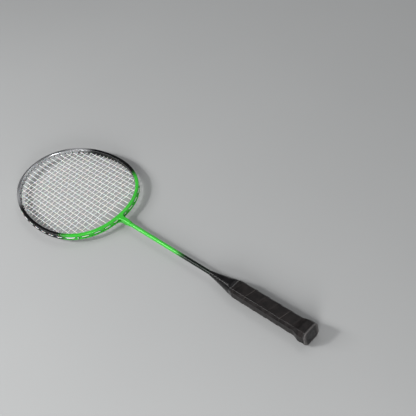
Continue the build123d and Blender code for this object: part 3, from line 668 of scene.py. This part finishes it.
def core_wood():
    """Growth rings about X, warped by noise, with lengthwise pores."""
    m = Mat("core_wood")
    warp = m.noise(scale=12, detail=3, vector=m.scaled(1, 8, 8))
    warped = m.node("ShaderNodeVectorMath", {0: m.scaled(1.2, 30, 30), 1: warp},
                    operation="ADD").outputs[0]
    rings = m.node("ShaderNodeTexWave",
                   {"Scale": 18, "Distortion": 3.0, "Detail": 3.0, "Vector": warped},
                   wave_type="RINGS", rings_direction="X").outputs["Fac"]
    pores = m.noise(scale=1, detail=4, roughness=0.7, vector=m.scaled(120, 3000, 3000))
    colour = m.mix(rings, (0.62, 0.42, 0.235), (0.45, 0.275, 0.135))
    colour = m.mix(m.remap(pores, span=(0.55, 0.72), to=(0, 0.7)), colour, (0.26, 0.15, 0.07))
    m.set(Base_Color=colour,
          Roughness=m.remap(pores, span=(0.3, 0.7), to=(0.50, 0.72)),
          Normal=m.bump(pores, strength=0.3, distance=0.0003))
    return m.material


def underlay_foam():
    """Pale woven layer: two sets of bands crossing."""
    m = Mat("underlay_foam")
    bands = [m.node("ShaderNodeTexWave", {"Scale": 420, "Vector": m.object_space},
                    wave_type="BANDS", bands_direction=direction).outputs["Fac"]
             for direction in ("X", "DIAGONAL")]
    weave = m.math("MAXIMUM", *bands)
    colour = m.mix(weave, (0.38, 0.35, 0.29), (0.60, 0.57, 0.49))
    stain = m.patches(scale=80, detail=4, span=(0.45, 0.7), to=(0, 0.5))
    m.set(Base_Color=m.mix(stain, colour, (0.45, 0.40, 0.30)),
          Roughness=0.85, Sheen_Weight=0.2,
          Normal=m.bump(weave, strength=0.5, distance=0.0003))
    return m.material


def plug_rubber():
    m = Mat("plug_rubber")
    grain = m.noise(scale=900, detail=3)
    m.set(Base_Color=m.mix(m.patches(scale=200, detail=3, span=(0.35, 0.65)),
                           (0.02, 0.02, 0.02), (0.05, 0.048, 0.046)),
          Roughness=m.remap(grain, span=(0.3, 0.7), to=(0.65, 0.85)),
          Normal=m.bump(grain, strength=0.3, distance=0.0002))
    return m.material


def pin_steel():
    """Steel brushed along Y."""
    m = Mat("pin_steel")
    brush = m.noise(scale=1, detail=3, roughness=0.6, vector=m.scaled(3000, 200, 3000))
    m.set(Base_Color=m.mix(m.remap(brush, span=(0.35, 0.65)),
                           (0.50, 0.50, 0.52), (0.68, 0.68, 0.69)),
          Metallic=1.0,
          Roughness=m.remap(brush, span=(0.3, 0.7), to=(0.25, 0.42)),
          Normal=m.bump(brush, strength=0.15, distance=0.0001))
    return m.material


def floor_paper():
    m = Mat("floor_paper")
    m.set(Base_Color=m.mix(m.noise(scale=3.0, detail=3),
                           (0.360, 0.364, 0.363), (0.380, 0.384, 0.383)),
          Roughness=0.85, Specular_IOR_Level=0.15)
    return m.material


MATERIALS = {make.__name__: make() for make in (
    frame_paint, shaft_paint, cone_plastic, grip_tape, end_tape, butt_plastic, badge_plastic,
    grommet_plastic, string_nylon, core_wood, underlay_foam, plug_rubber, pin_steel)}

# CAD pieces that keep their mesh: node, material
DRESSED = (
    ("head_frame", "frame_paint"), ("throat_joint", "frame_paint"),
    ("shaft_tube", "shaft_paint"), ("shaft_plug", "plug_rubber"),
    ("handle_cone", "cone_plastic"), ("handle_core", "core_wood"),
    ("grip_underlay", "underlay_foam"), ("butt_badge", "badge_plastic"),
    ("butt_pins", "pin_steel"), ("grommets_tip", "grommet_plastic"),
    ("grommets_left", "grommet_plastic"), ("grommets_right", "grommet_plastic"),
    ("grommets_throat", "grommet_plastic"))


def dress_cad_pieces():
    for node, material in DRESSED:
        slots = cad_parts[node].data.materials
        slots.clear()
        slots.append(MATERIALS[material])


# ---------------------------------------------------------------------
# Strings: two continuous woven tubes with their runs in the groove.
# A leg is (start, end, crossings); a crossing is (distance from start, +1 over or -1 under).
# ---------------------------------------------------------------------
def main_leg(side, i, down):
    """Leg of a main, from the tip if down, else from the throat."""
    start, end = main_hit(side, i, RUN, down), main_hit(side, i, RUN, not down)
    crossings = []
    for j, x in enumerate(CROSS_X):
        y = main_at(side, i, x)
        if inside_head(x, y):
            distance = math.hypot(x - start[0], y - start[1])
            crossings.append((distance, main_sign(side, i, j)))
    return start, end, sorted(crossings)


def cross_leg(j, side):
    """Leg of a cross, starting on the given side."""
    x = CROSS_X[j]
    start, end = hit(RUN, "x", x, side), hit(RUN, "x", x, -side)
    crossings = []
    for main_side, i in MAINS:
        y = main_at(main_side, i, x)
        if inside_head(x, y):
            crossings.append((abs(y - start[1]), -main_sign(main_side, i, j)))
    return start, end, sorted(crossings)


def past_mouth(mouth, outward):
    return (mouth[0] + outward[0] * END_PAST, mouth[1] + outward[1] * END_PAST)


def stop_start(leg, mouth, outward):
    """The leg with its start drawn back to just outside a grommet mouth."""
    start, end, crossings = leg
    stop = past_mouth(mouth, outward)
    cut = (start[0] - stop[0]) * outward[0] + (start[1] - stop[1]) * outward[1]
    return stop, end, [(distance - cut, sign) for distance, sign in crossings]


def stop_end(leg, mouth, outward):
    start, _, crossings = leg
    return start, past_mouth(mouth, outward), crossings


def weave_leg(start, end, crossings, z_hole, amplitude):
    """Points of one leg: straight through the grommets, cosine weave between."""
    start, end = np.array(start, float), np.array(end, float)
    length = float(np.linalg.norm(end - start))
    along = (end - start) / length
    crossings = [c for c in crossings if 0 < c[0] < length]
    straight = (RUN - IN) * 1.03
    first, last = crossings[0][0], crossings[-1][0]
    knots = [(0.0, z_hole), (min(straight, first * 0.6), z_hole)]
    knots += [(s, sign * amplitude) for s, sign in crossings]
    knots += [(max(length - straight, length - (length - last) * 0.6), z_hole),
              (length, z_hole)]
    points = []
    for (s0, z0), (s1, z1) in zip(knots, knots[1:]):
        steps = 8 if abs(z1 - z0) > 0.2 else 3
        for q in range(steps):
            t = q / steps
            x, y = start + along * (s0 + (s1 - s0) * t)
            points.append(np.array([x, y, z0 + (z1 - z0) * (0.5 - 0.5 * math.cos(math.pi * t))]))
    points.append(np.array([*end, z_hole]))
    return points


def groove_run(start, end, z_hole, z_run):
    """Points along the groove between two grommets, easing from hole to groove height."""
    s0, s1 = locate(RUN, start), locate(RUN, end)
    table = walk_table(RUN)
    steps = max(6, int(abs(s1 - s0) / 1.2))
    points = []
    for k in range(1, steps):
        t = k / steps
        x, y = at_length(RUN, s0 + (s1 - s0) * t, table)
        from_hole = min(t, 1 - t) * abs(s1 - s0)
        z = z_hole + (z_run - z_hole) * smooth01((from_hole - 0.6) / 1.4)
        points.append(np.array([x, y, z]))
    return points


def round_corners(path, corners):
    """Replaces the points at the given indices with short curves."""
    out = []
    for i, point in enumerate(path):
        if i not in corners:
            out.append(point)
            continue
        back, ahead = path[i - 1] - point, path[i + 1] - point
        back_length, ahead_length = np.linalg.norm(back), np.linalg.norm(ahead)
        a = point + back / back_length * min(CORNER_CUT, back_length * 0.45)
        b = point + ahead / ahead_length * min(CORNER_CUT, ahead_length * 0.45)
        for t in (0.0, 0.2, 0.4, 0.6, 0.8, 1.0):
            out.append((1 - t) ** 2 * a + 2 * t * (1 - t) * point + t * t * b)
    return np.array(out)


def drop_repeats(path):
    """The path without repeated points, and the running length at each."""
    steps = np.linalg.norm(np.diff(path, axis=0), axis=1)
    length = np.r_[0, np.cumsum(steps)]
    keep = np.r_[True, np.diff(length) > 1e-6]
    return path[keep], length[keep]


def build_string(name, node, legs, z_hole, z_run, amplitude):
    path, corners, previous_end = [], set(), None
    for start, end, crossings in legs:
        if path:
            corners.add(len(path) - 1)
            path += groove_run(previous_end, start, z_hole, z_run)
            corners.add(len(path))
        path += weave_leg(start, end, crossings, z_hole, amplitude)
        previous_end = end
    path, length = drop_repeats(round_corners(path, corners))
    piece = new_piece(name, *tube(path, STRING_R))
    add_attribute(piece.data, "along", np.repeat(length, TUBE_SIDES))
    # place round the section, as a triangle wave so that it closes without a jump
    turn = np.arange(TUBE_SIDES) / TUBE_SIDES
    triangle = np.abs(((turn + 0.5) % 1.0) - 0.5) * 2
    add_attribute(piece.data, "around", np.tile(triangle, len(path)))
    register(piece, MATERIALS["string_nylon"], node)


def main_stop(side, i):
    """Grommet mouth at the tip end of a main, and the outward direction there."""
    tip, throat = main_hit(side, i, RUN, True), main_hit(side, i, RUN, False)
    dx, dy = tip[0] - throat[0], tip[1] - throat[1]
    length = math.hypot(dx, dy)
    return main_hit(side, i, OUT, True), (dx / length, dy / length)


def build_mains():
    """Woven from +Y to -Y. Returns the two stops."""
    order = [(1, i) for i in range(HALF_MAINS, 0, -1)]
    order += [(-1, i) for i in range(1, HALF_MAINS + 1)]
    legs = [main_leg(side, i, n % 2 == 0) for n, (side, i) in enumerate(order)]
    stops = [main_stop(*order[0]), main_stop(*order[-1])]
    legs[0] = stop_start(legs[0], *stops[0])
    legs[-1] = stop_end(legs[-1], *stops[1])
    build_string("main_string_woven", "main_string", legs, MAIN_Z, GROOVE_Z, MAIN_AMP)
    return stops


def build_crosses():
    """Woven from the throat to the tip. Returns the two stops."""
    legs = [cross_leg(j, 1 if j % 2 == 0 else -1) for j in range(N_CROSSES)]
    last_side = -1 if N_CROSSES % 2 else 1
    stops = [(hit(OUT, "x", CROSS_X[0], 1), (0.0, 1.0)),
             (hit(OUT, "x", CROSS_X[-1], last_side), (0.0, float(last_side)))]
    legs[0] = stop_start(legs[0], *stops[0])
    legs[-1] = stop_end(legs[-1], *stops[1])
    build_string("cross_string_woven", "cross_string", legs, CROSS_Z, -GROOVE_Z, CROSS_AMP)
    return stops


def knot_path(mouth, outward):
    """A string end coiled into a stopper just outside its grommet, loose end first."""
    turns, coil_r = 2.4, 0.82
    centre = np.array([mouth[0], mouth[1], 0.0])
    out = np.array([outward[0], outward[1], 0.0])
    across = np.array([-outward[1], outward[0], 0.0])
    up = np.array([0, 0, 1.0])
    points = [centre + out * 0.60 + across * 0.15 + up * 1.25,
              centre + out * 0.62 + across * 0.6 + up * 1.0]
    steps = int(turns * 16)
    for k in range(steps + 1):
        t = k / steps
        a = 2 * math.pi * turns * t + 0.9
        r = coil_r if t < 0.9 else coil_r * (1 - (t - 0.9) / 0.1)
        points.append(centre + out * (0.45 + 0.55 * t)
                      + across * r * math.sin(a) + up * r * math.cos(a))
    points += [centre + out * 0.7, centre + out * 0.25]
    return np.array(points)


def build_knots(main_stops, cross_stops):
    """Knots of the mains coil on the +Z side, those of the crosses on the -Z side."""
    verts, faces = [], []
    for stops, z, sign in ((main_stops, MAIN_Z, 1), (cross_stops, CROSS_Z, -1)):
        for mouth, outward in stops:
            path = knot_path(mouth, outward)
            path[:, 2] = path[:, 2] * sign + z
            knot_verts, knot_faces = tube(path, KNOT_STRING_R)
            faces += [tuple(i + len(verts) for i in face) for face in knot_faces]
            verts += list(knot_verts)
    piece = new_piece("string_knots_tied", verts, faces)
    register(piece, MATERIALS["string_nylon"], "string_knots")


# ---------------------------------------------------------------------
# Handle sections: octagons in the (y, z) plane
# ---------------------------------------------------------------------
def octagon(inset):
    ny, nz = GRIP_Z - GRIP_SIDE, GRIP_Y - GRIP_TOP
    length = math.hypot(ny, nz)
    ny, nz = ny / length, nz / length
    chamfer = ny * GRIP_TOP + nz * GRIP_Z - inset
    y, z = GRIP_Y - inset, GRIP_Z - inset
    top = (chamfer - nz * z) / ny
    side = (chamfer - ny * y) / nz
    return [(y, -side), (y, side), (top, z), (-top, z),
            (-y, side), (-y, -side), (-top, -z), (top, -z)]


@lru_cache(maxsize=None)
def rounded_octagon(inset, corner_r):
    """Each corner gives SEG + 1 points, each face FLAT - 1 more."""
    points = [np.array(p) for p in octagon(inset)]
    corners = []
    for k in range(8):
        a, b, c = points[k - 1], points[k], points[(k + 1) % 8]
        u, v = (a - b) / np.linalg.norm(a - b), (c - b) / np.linalg.norm(c - b)
        half_angle = math.acos(max(-1, min(1, float(u @ v)))) / 2
        t = corner_r / math.tan(half_angle)
        centre = b + (u + v) / np.linalg.norm(u + v) * (corner_r / math.sin(half_angle))
        start, end = b + u * t - centre, b + v * t - centre
        a0 = math.atan2(start[1], start[0])
        a1 = math.atan2(end[1], end[0])
        while a1 < a0:
            a1 += 2 * math.pi
        angles = [a0 + (a1 - a0) * q / SEG for q in range(SEG + 1)]
        corners.append([centre + corner_r * np.array([math.cos(angle), math.sin(angle)])
                        for angle in angles])
    out = []
    for k in range(8):
        out += corners[k]
        end, start = corners[k][-1], corners[(k + 1) % 8][0]
        out += [end + (start - end) * q / FLAT for q in range(1, FLAT)]
    return np.array(out)


def ring_at(inset, corner_r=CORNER_R):
    return rounded_octagon(round(float(inset), 3), corner_r)


RING = ring_at(0.0)
COLUMNS = len(RING)


def turn_shares():
    """Share of the way round the octagon at each column."""
    closed = np.vstack([RING, RING[:1]])
    length = np.r_[0, np.cumsum(np.linalg.norm(np.diff(closed, axis=0), axis=1))]
    return length / length[-1]


TURN = turn_shares()


def circle_ring(radius):
    a = np.arctan2(RING[:, 1], RING[:, 0])
    return np.stack([radius * np.cos(a), radius * np.sin(a)], 1)


def placed(x, section):
    """A section set at x, as (x, y, z) points."""
    return np.column_stack([np.full(COLUMNS, x), -section[:, 0], section[:, 1]])


def loft_faces(rings, closed=False):
    faces = []
    for r in range(rings if closed else rings - 1):
        near, far = r * COLUMNS, (r + 1) % rings * COLUMNS
        for k in range(COLUMNS):
            k1 = (k + 1) % COLUMNS
            faces.append((near + k, near + k1, far + k1, far + k))
    return faces


# ---------------------------------------------------------------------
# Grip wrap: a helix of tape. Rows follow the helix; each row's last column joins the
# first column one turn on.
# ---------------------------------------------------------------------
# places across one turn, as shares of the pitch
TURN_ROWS = (
    0.0, 0.003, 0.008, 0.015, 0.022, 0.03, 0.05, 0.08, 0.11, 0.135, 0.16, 0.185, 0.22, 0.27,
    0.34, 0.42, 0.50, 0.58, 0.66, 0.74, 0.81, 0.87, 0.92, 0.95, 0.975, 0.99, 0.998)
FIRST_TURN, LAST_TURN = -2, 7
HIGHLIT_SEAMS_X, PALE_REACH, PALE_LEAST = (47, 117), 9.0, 0.22    # x of the palest edges, where painted highlight and wear peak, mm


def flare_at(x):
    return FLARE * min(1, max(0, (FLARE_X1 - x) / (FLARE_X1 - FLARE_X0)))


def tape_height(share):
    """Height of the tape over its base across one turn."""
    height = WRAP_T + WRAP_STEP * (1 - share)
    edge = 0.028                              # rolled leading edge, share of the pitch
    if share < edge:
        q = share / edge
        height -= 0.30 * (1 - math.sqrt(max(0.0, 1 - (1 - q) ** 2)))
    # slight ridge behind the edge, then easing down under the next turn
    height += 0.10 * math.exp(-((share - 0.16) / 0.05) ** 2)
    height -= 0.08 * smooth01((share - 0.93) / 0.07)
    return height


def wobble(x, column):
    """Small unevenness of a tape wound by hand."""
    a = 2 * math.pi * TURN[column]
    slow = 0.05 * math.sin(x * 0.21 + 2 * a + 0.7) * math.sin(x * 0.083 - a)
    return slow + 0.03 * math.sin(x * 0.55 + 3 * a)


def wrap_vertex(turn, share, column):
    """Position, and the seam's paleness (painted highlight and wear), at one place on the tape.
    """
    helix_x = HELIX_X0 + WRAP_PITCH * (turn + share + TURN[column])
    x = min(max(helix_x, WRAP_X0), WRAP_X1)
    local_share, seam = share, 0.0
    if x == helix_x:
        edge_x = HELIX_X0 + WRAP_PITCH * (turn + TURN[column])
        lift = max(*(math.exp(-((edge_x - at) / PALE_REACH) ** 2) for at in HIGHLIT_SEAMS_X),
                   PALE_LEAST)
        # painted highlight and wear on the leading edge of a turn, strongest near the listed x
        seam = lift * max(0.0, 1 - abs(share - 0.012) / 0.02)
    else:
        phase = (x - HELIX_X0) / WRAP_PITCH - TURN[column]
        local_share = phase - math.floor(phase)
    height = tape_height(local_share) + wobble(x, column)
    # tucked ends at the butt rim and at the finishing tape
    height -= (0.55 * (1 - smooth01((x - WRAP_X0) / 1.1))
               + 0.45 * (1 - smooth01((WRAP_X1 - x) / 0.9)))
    y, z = ring_at(UNDER_D - flare_at(x) - height)[column]
    return (x, -y, z), seam


def wrap_faces(verts, row_count):
    turn_rows = len(TURN_ROWS)

    def index(row, column):
        return (row + turn_rows) * COLUMNS if column == COLUMNS else row * COLUMNS + column

    faces = []
    for r in range(row_count - 1):
        for k in range(COLUMNS):
            if k == COLUMNS - 1 and r + 1 + turn_rows >= row_count:
                continue
            quad = (index(r, k), index(r, k + 1), index(r + 1, k + 1), index(r + 1, k))
            xs = verts[list(quad), 0]
            # quads squeezed flat against either end
            if np.all(xs <= WRAP_X0 + 1e-6) or np.all(xs >= WRAP_X1 - 1e-6):
                continue
            faces.append(quad[::-1])
    return faces


def extrude_to_octagon(bm, edges, x, inset):
    """Extrudes a loop and moves it to x, pushed radially to an octagon."""
    geometry = bmesh.ops.extrude_edge_only(bm, edges=edges)["geom"]
    points = octagon(inset)
    for vert in geometry:
        if not isinstance(vert, bmesh.types.BMVert):
            continue
        y, z = vert.co.y / MM, vert.co.z / MM
        reach = 1e9
        for k in range(8):
            (y0, z0), (y1, z1) = points[k], points[(k + 1) % 8]
            ny, nz = (z1 - z0), -(y1 - y0)
            towards = ny * y + nz * z
            if towards > 1e-9:
                reach = min(reach, (ny * y0 + nz * z0) / towards)
        vert.co = Vector((x * MM, y * reach * MM, z * reach * MM))
    return [edge for edge in geometry if isinstance(edge, bmesh.types.BMEdge)]


def close_wrap(mesh):
    """Welds the tape and adds an inner sleeve: the rims turn in along the underlay."""
    bm = bmesh.new()
    bm.from_mesh(mesh)
    loose = [v for v in bm.verts if not v.link_faces]
    bmesh.ops.delete(bm, geom=loose, context="VERTS")
    bmesh.ops.remove_doubles(bm, verts=bm.verts, dist=1e-6)
    bmesh.ops.dissolve_degenerate(bm, dist=2e-6, edges=bm.edges)
    middle = 0.05                             # m, between the two rims
    rims = [e for e in bm.edges if len(e.link_faces) == 1]
    low = [e for e in rims if e.verts[0].co.x < middle]
    high = [e for e in rims if e.verts[0].co.x > middle]
    for x, inset in ((WRAP_X0, UNDER_D - FLARE), (FLARE_X0, UNDER_D - FLARE),
                     (FLARE_X1, UNDER_D)):
        low = extrude_to_octagon(bm, low, x, inset)
    high = extrude_to_octagon(bm, high, WRAP_X1, UNDER_D)
    bmesh.ops.bridge_loops(bm, edges=low + high)
    bmesh.ops.recalc_face_normals(bm, faces=bm.faces)
    bm.to_mesh(mesh)
    bm.free()


def build_grip_wrap():
    rows = [(turn, share) for turn in range(FIRST_TURN, LAST_TURN + 1) for share in TURN_ROWS]
    places = [wrap_vertex(turn, share, k) for turn, share in rows for k in range(COLUMNS)]
    verts = np.array([position for position, _ in places])
    mesh = bpy.data.meshes.new("grip_wrap_tape")
    mesh.from_pydata([tuple(v * MM) for v in verts], [], wrap_faces(verts, len(rows)))
    add_attribute(mesh, "seam", [seam for _, seam in places])
    close_wrap(mesh)
    piece = add_smooth_object("grip_wrap_tape", mesh)
    register(piece, MATERIALS["grip_tape"], "grip_wrap")
    return piece


# ---------------------------------------------------------------------
# Butt cap and finishing tape
# ---------------------------------------------------------------------
RIM_D = UNDER_D - FLARE - WRAP_T - WRAP_STEP * 0.6    # inset of the cap's rim
SEAT_X, CAP_FLOOR_X = 1.2, 5.0                        # badge seat; inner face of the cap


def cap_sections():
    """Sections (x, outline) from the badge seat, over the rim and back inside the skirt."""
    lip = circle_ring(BADGE_R + 0.45)
    sections = [
        (SEAT_X, circle_ring(4.0)), (SEAT_X, circle_ring(BADGE_R + 0.05)),
        (0.25, circle_ring(BADGE_R + 0.05)), (0.05, circle_ring(BADGE_R + 0.18)), (0.0, lip)]
    # flat end face, blending from circle to octagon
    sections += [(0.0, lip * (1 - q) + ring_at(RIM_D + 2.4, 1.2) * q) for q in (0.25, 0.5, 0.75)]
    sections.append((0.0, ring_at(RIM_D + 1.35, 1.5)))
    for k in range(1, 7):                     # rounded rim, 1 mm radius
        a = math.pi / 2 * k / 6
        sections.append((1.0 - math.cos(a), ring_at(RIM_D + 1.0 * (1 - math.sin(a)))))
    flared = ring_at(UNDER_D - FLARE + 0.02, 1.2)
    sections += [
        (2.0, ring_at(RIM_D)), (2.9, ring_at(RIM_D)), (WRAP_X0, ring_at(RIM_D + 0.1)),
        (WRAP_X0, flared), (FLARE_X0, flared), (FLARE_X1, ring_at(UNDER_D + 0.02, 1.2)),
        (FLARE_X1, ring_at(CORE_D, 0.8)), (CAP_FLOOR_X, ring_at(CORE_D, 0.8)),
        (CAP_FLOOR_X, circle_ring(4.0))]
    return sections


def rim_wear_and_highlight(vert):
    """1 at x = 0.35 mm on the outer rim, falling to 0 within 0.75 mm."""
    radius = max(abs(vert.co.y), abs(vert.co.z)) / MM
    return max(0.0, 1 - abs(vert.co.x / MM - 0.35) / 0.75) if radius > 11.5 else 0.0


def build_butt_cap():
    rings = [placed(x, outline) for x, outline in cap_sections()]
    verts = np.vstack(rings + [[[SEAT_X, 0, 0], [CAP_FLOOR_X, 0, 0]]])
    faces = loft_faces(len(rings))
    last = (len(rings) - 1) * COLUMNS
    seat_centre = len(rings) * COLUMNS
    for k in range(COLUMNS):
        k1 = (k + 1) % COLUMNS
        faces += [(k1, k, seat_centre), (last + k, last + k1, seat_centre + 1)]
    piece = new_piece("butt_cap_moulded", verts, faces)
    recalc_normals(piece)
    add_attribute(piece.data, "rim", [rim_wear_and_highlight(vert) for vert in piece.data.vertices])
    register(piece, MATERIALS["butt_plastic"], "butt_cap")
    return piece


CONE_LENGTH, CONE_R0, CONE_R1, CONE_POWER = 55.5, 14.6, 4.15, 1.12
TAPE_X0, TAPE_X1 = 149.55, 155.5

# section of the finishing tape as a closed loop: x, drop below the surface
TAPE_PROFILE = (
    (TAPE_X0, 0.33), (TAPE_X0, 0.08), (TAPE_X0 + 0.08, 0.0), (TAPE_X0 + 1.2, 0.0),
    (TAPE_X0 + 2.4, 0.0), (TAPE_X0 + 2.95, 0.0), (TAPE_X0 + 3.02, 0.05), (TAPE_X0 + 3.09, 0.09),
    (TAPE_X0 + 3.8, 0.08), (TAPE_X0 + 4.8, 0.06), (TAPE_X1 - 0.12, 0.05),
    (TAPE_X1 - 0.03, 0.10), (TAPE_X1, 0.16), (TAPE_X1, 0.33))


def cone_radius(x):
    u = (x - WRAP_X1) / CONE_LENGTH
    return CONE_R1 + (CONE_R0 - CONE_R1) * (1 - u) ** CONE_POWER


def tape_ring(x, drop):
    """The smaller of octagon and cone, with a soft blend where they cross."""
    section = ring_at(UNDER_D - 0.9, 1.1)
    octagon_r = np.hypot(section[:, 0], section[:, 1])
    cone_r = cone_radius(x)
    blend = 0.35
    h = np.clip(0.5 + 0.5 * (cone_r - octagon_r) / blend, 0, 1)
    r = cone_r * (1 - h) + octagon_r * h - blend * h * (1 - h) - drop
    return placed(x, section * (r / octagon_r)[:, None])


def build_end_tape():
    """Two turns of glossy tape between the grip and the cone."""
    verts = np.concatenate([tape_ring(x, drop) for x, drop in TAPE_PROFILE])
    faces = loft_faces(len(TAPE_PROFILE), closed=True)
    piece = new_piece("grip_end_tape_wound", verts, faces)
    recalc_normals(piece)
    register(piece, MATERIALS["end_tape"], "grip_end_tape")
    return piece


# ---------------------------------------------------------------------
# Floor, light and camera, in metres
# ---------------------------------------------------------------------
def build_floor():
    half_size, gap = 6.0, 0.0002
    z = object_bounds()[0].z - gap
    mesh = bpy.data.meshes.new("floor")
    mesh.from_pydata([(-half_size, -half_size, z), (half_size, -half_size, z),
                      (half_size, half_size, z), (-half_size, half_size, z)],
                     [], [(0, 1, 2, 3)])
    floor = bpy.data.objects.new("floor", mesh)
    bpy.context.scene.collection.objects.link(floor)
    floor.data.materials.append(floor_paper())


def build_world():
    """Even for diffuse light, darker in reflections so that blacks stay black."""
    world = bpy.data.worlds.new("studio")
    bpy.context.scene.world = world
    world.use_nodes = True
    tree = world.node_tree
    background = tree.nodes["Background"]
    background.inputs["Color"].default_value = (0.97, 0.98, 1.0, 1)
    light_path = tree.nodes.new("ShaderNodeLightPath")
    strength = tree.nodes.new("ShaderNodeMapRange")
    tree.links.new(light_path.outputs["Is Glossy Ray"], strength.inputs[0])
    strength.inputs[3].default_value = 0.42   # other rays
    strength.inputs[4].default_value = 0.11   # glossy rays
    tree.links.new(strength.outputs[0], background.inputs["Strength"])


def softbox(name, direction, distance, size, power, target=(0.36, 0, 0)):
    """Area light in a direction from its target, facing it."""
    z = Vector(direction).normalized()
    light = bpy.data.lights.new(name, "AREA")
    light.shape = "RECTANGLE"
    light.size, light.size_y = size
    light.energy = power
    lamp = bpy.data.objects.new(name, light)
    bpy.context.scene.collection.objects.link(lamp)
    x = Vector((1, 0, 0)) - z * z.x
    x.normalize()
    turn = Matrix((x, z.cross(x), z)).transposed().to_4x4()
    lamp.matrix_world = Matrix.Translation(Vector(target) + z * distance) @ turn


def build_lights():
    softbox("key", direction=(0.50, 0.62, 0.60), distance=1.7, size=(1.2, 0.26), power=14)
    softbox("spot", direction=(0.36, 0.60, 0.71), distance=1.7, size=(0.16, 0.16), power=11)
    softbox("top", direction=(0.1, -0.5, 1.0), distance=2.0, size=(1.0, 0.6), power=4)
    # low fill from the handle side
    softbox("fill", direction=(-0.80, 0.62, 0.34), distance=1.6, size=(0.5, 0.5), power=13,
            target=(0.50, 0, 0))


def build_camera():
    place = Vector((-0.575651, 0.515210, 1.068312))
    right = Vector((-0.71125501, -0.67421521, -0.19887221))
    down = Vector((-0.39376447, 0.61650954, -0.68181048))
    forward = Vector((0.58229361, -0.40663231, -0.70397749))
    lens = bpy.data.cameras.new("camera")
    lens.sensor_width = 36.0                  # mm
    lens.lens = 77.263269                     # mm
    lens.clip_start, lens.clip_end = 0.05, 50
    camera = bpy.data.objects.new("camera", lens)
    bpy.context.scene.collection.objects.link(camera)
    turn = Matrix((right, -down, -forward)).transposed().to_4x4()
    camera.matrix_world = Matrix.Translation(place) @ turn
    bpy.context.scene.camera = camera


def set_view():
    view = bpy.context.scene.view_settings
    view.view_transform = "Standard"
    view.look = "None"
    view.exposure = 0.0


dress_cad_pieces()
build_knots(build_mains(), build_crosses())
wrap = build_grip_wrap()
cap = build_butt_cap()
finishing_tape = build_end_tape()
for piece in (cap, wrap, finishing_tape):
    piece.modifiers.new("edges", "EDGE_SPLIT").split_angle = math.radians(50)
build_floor()
build_world()
build_lights()
build_camera()
set_view()
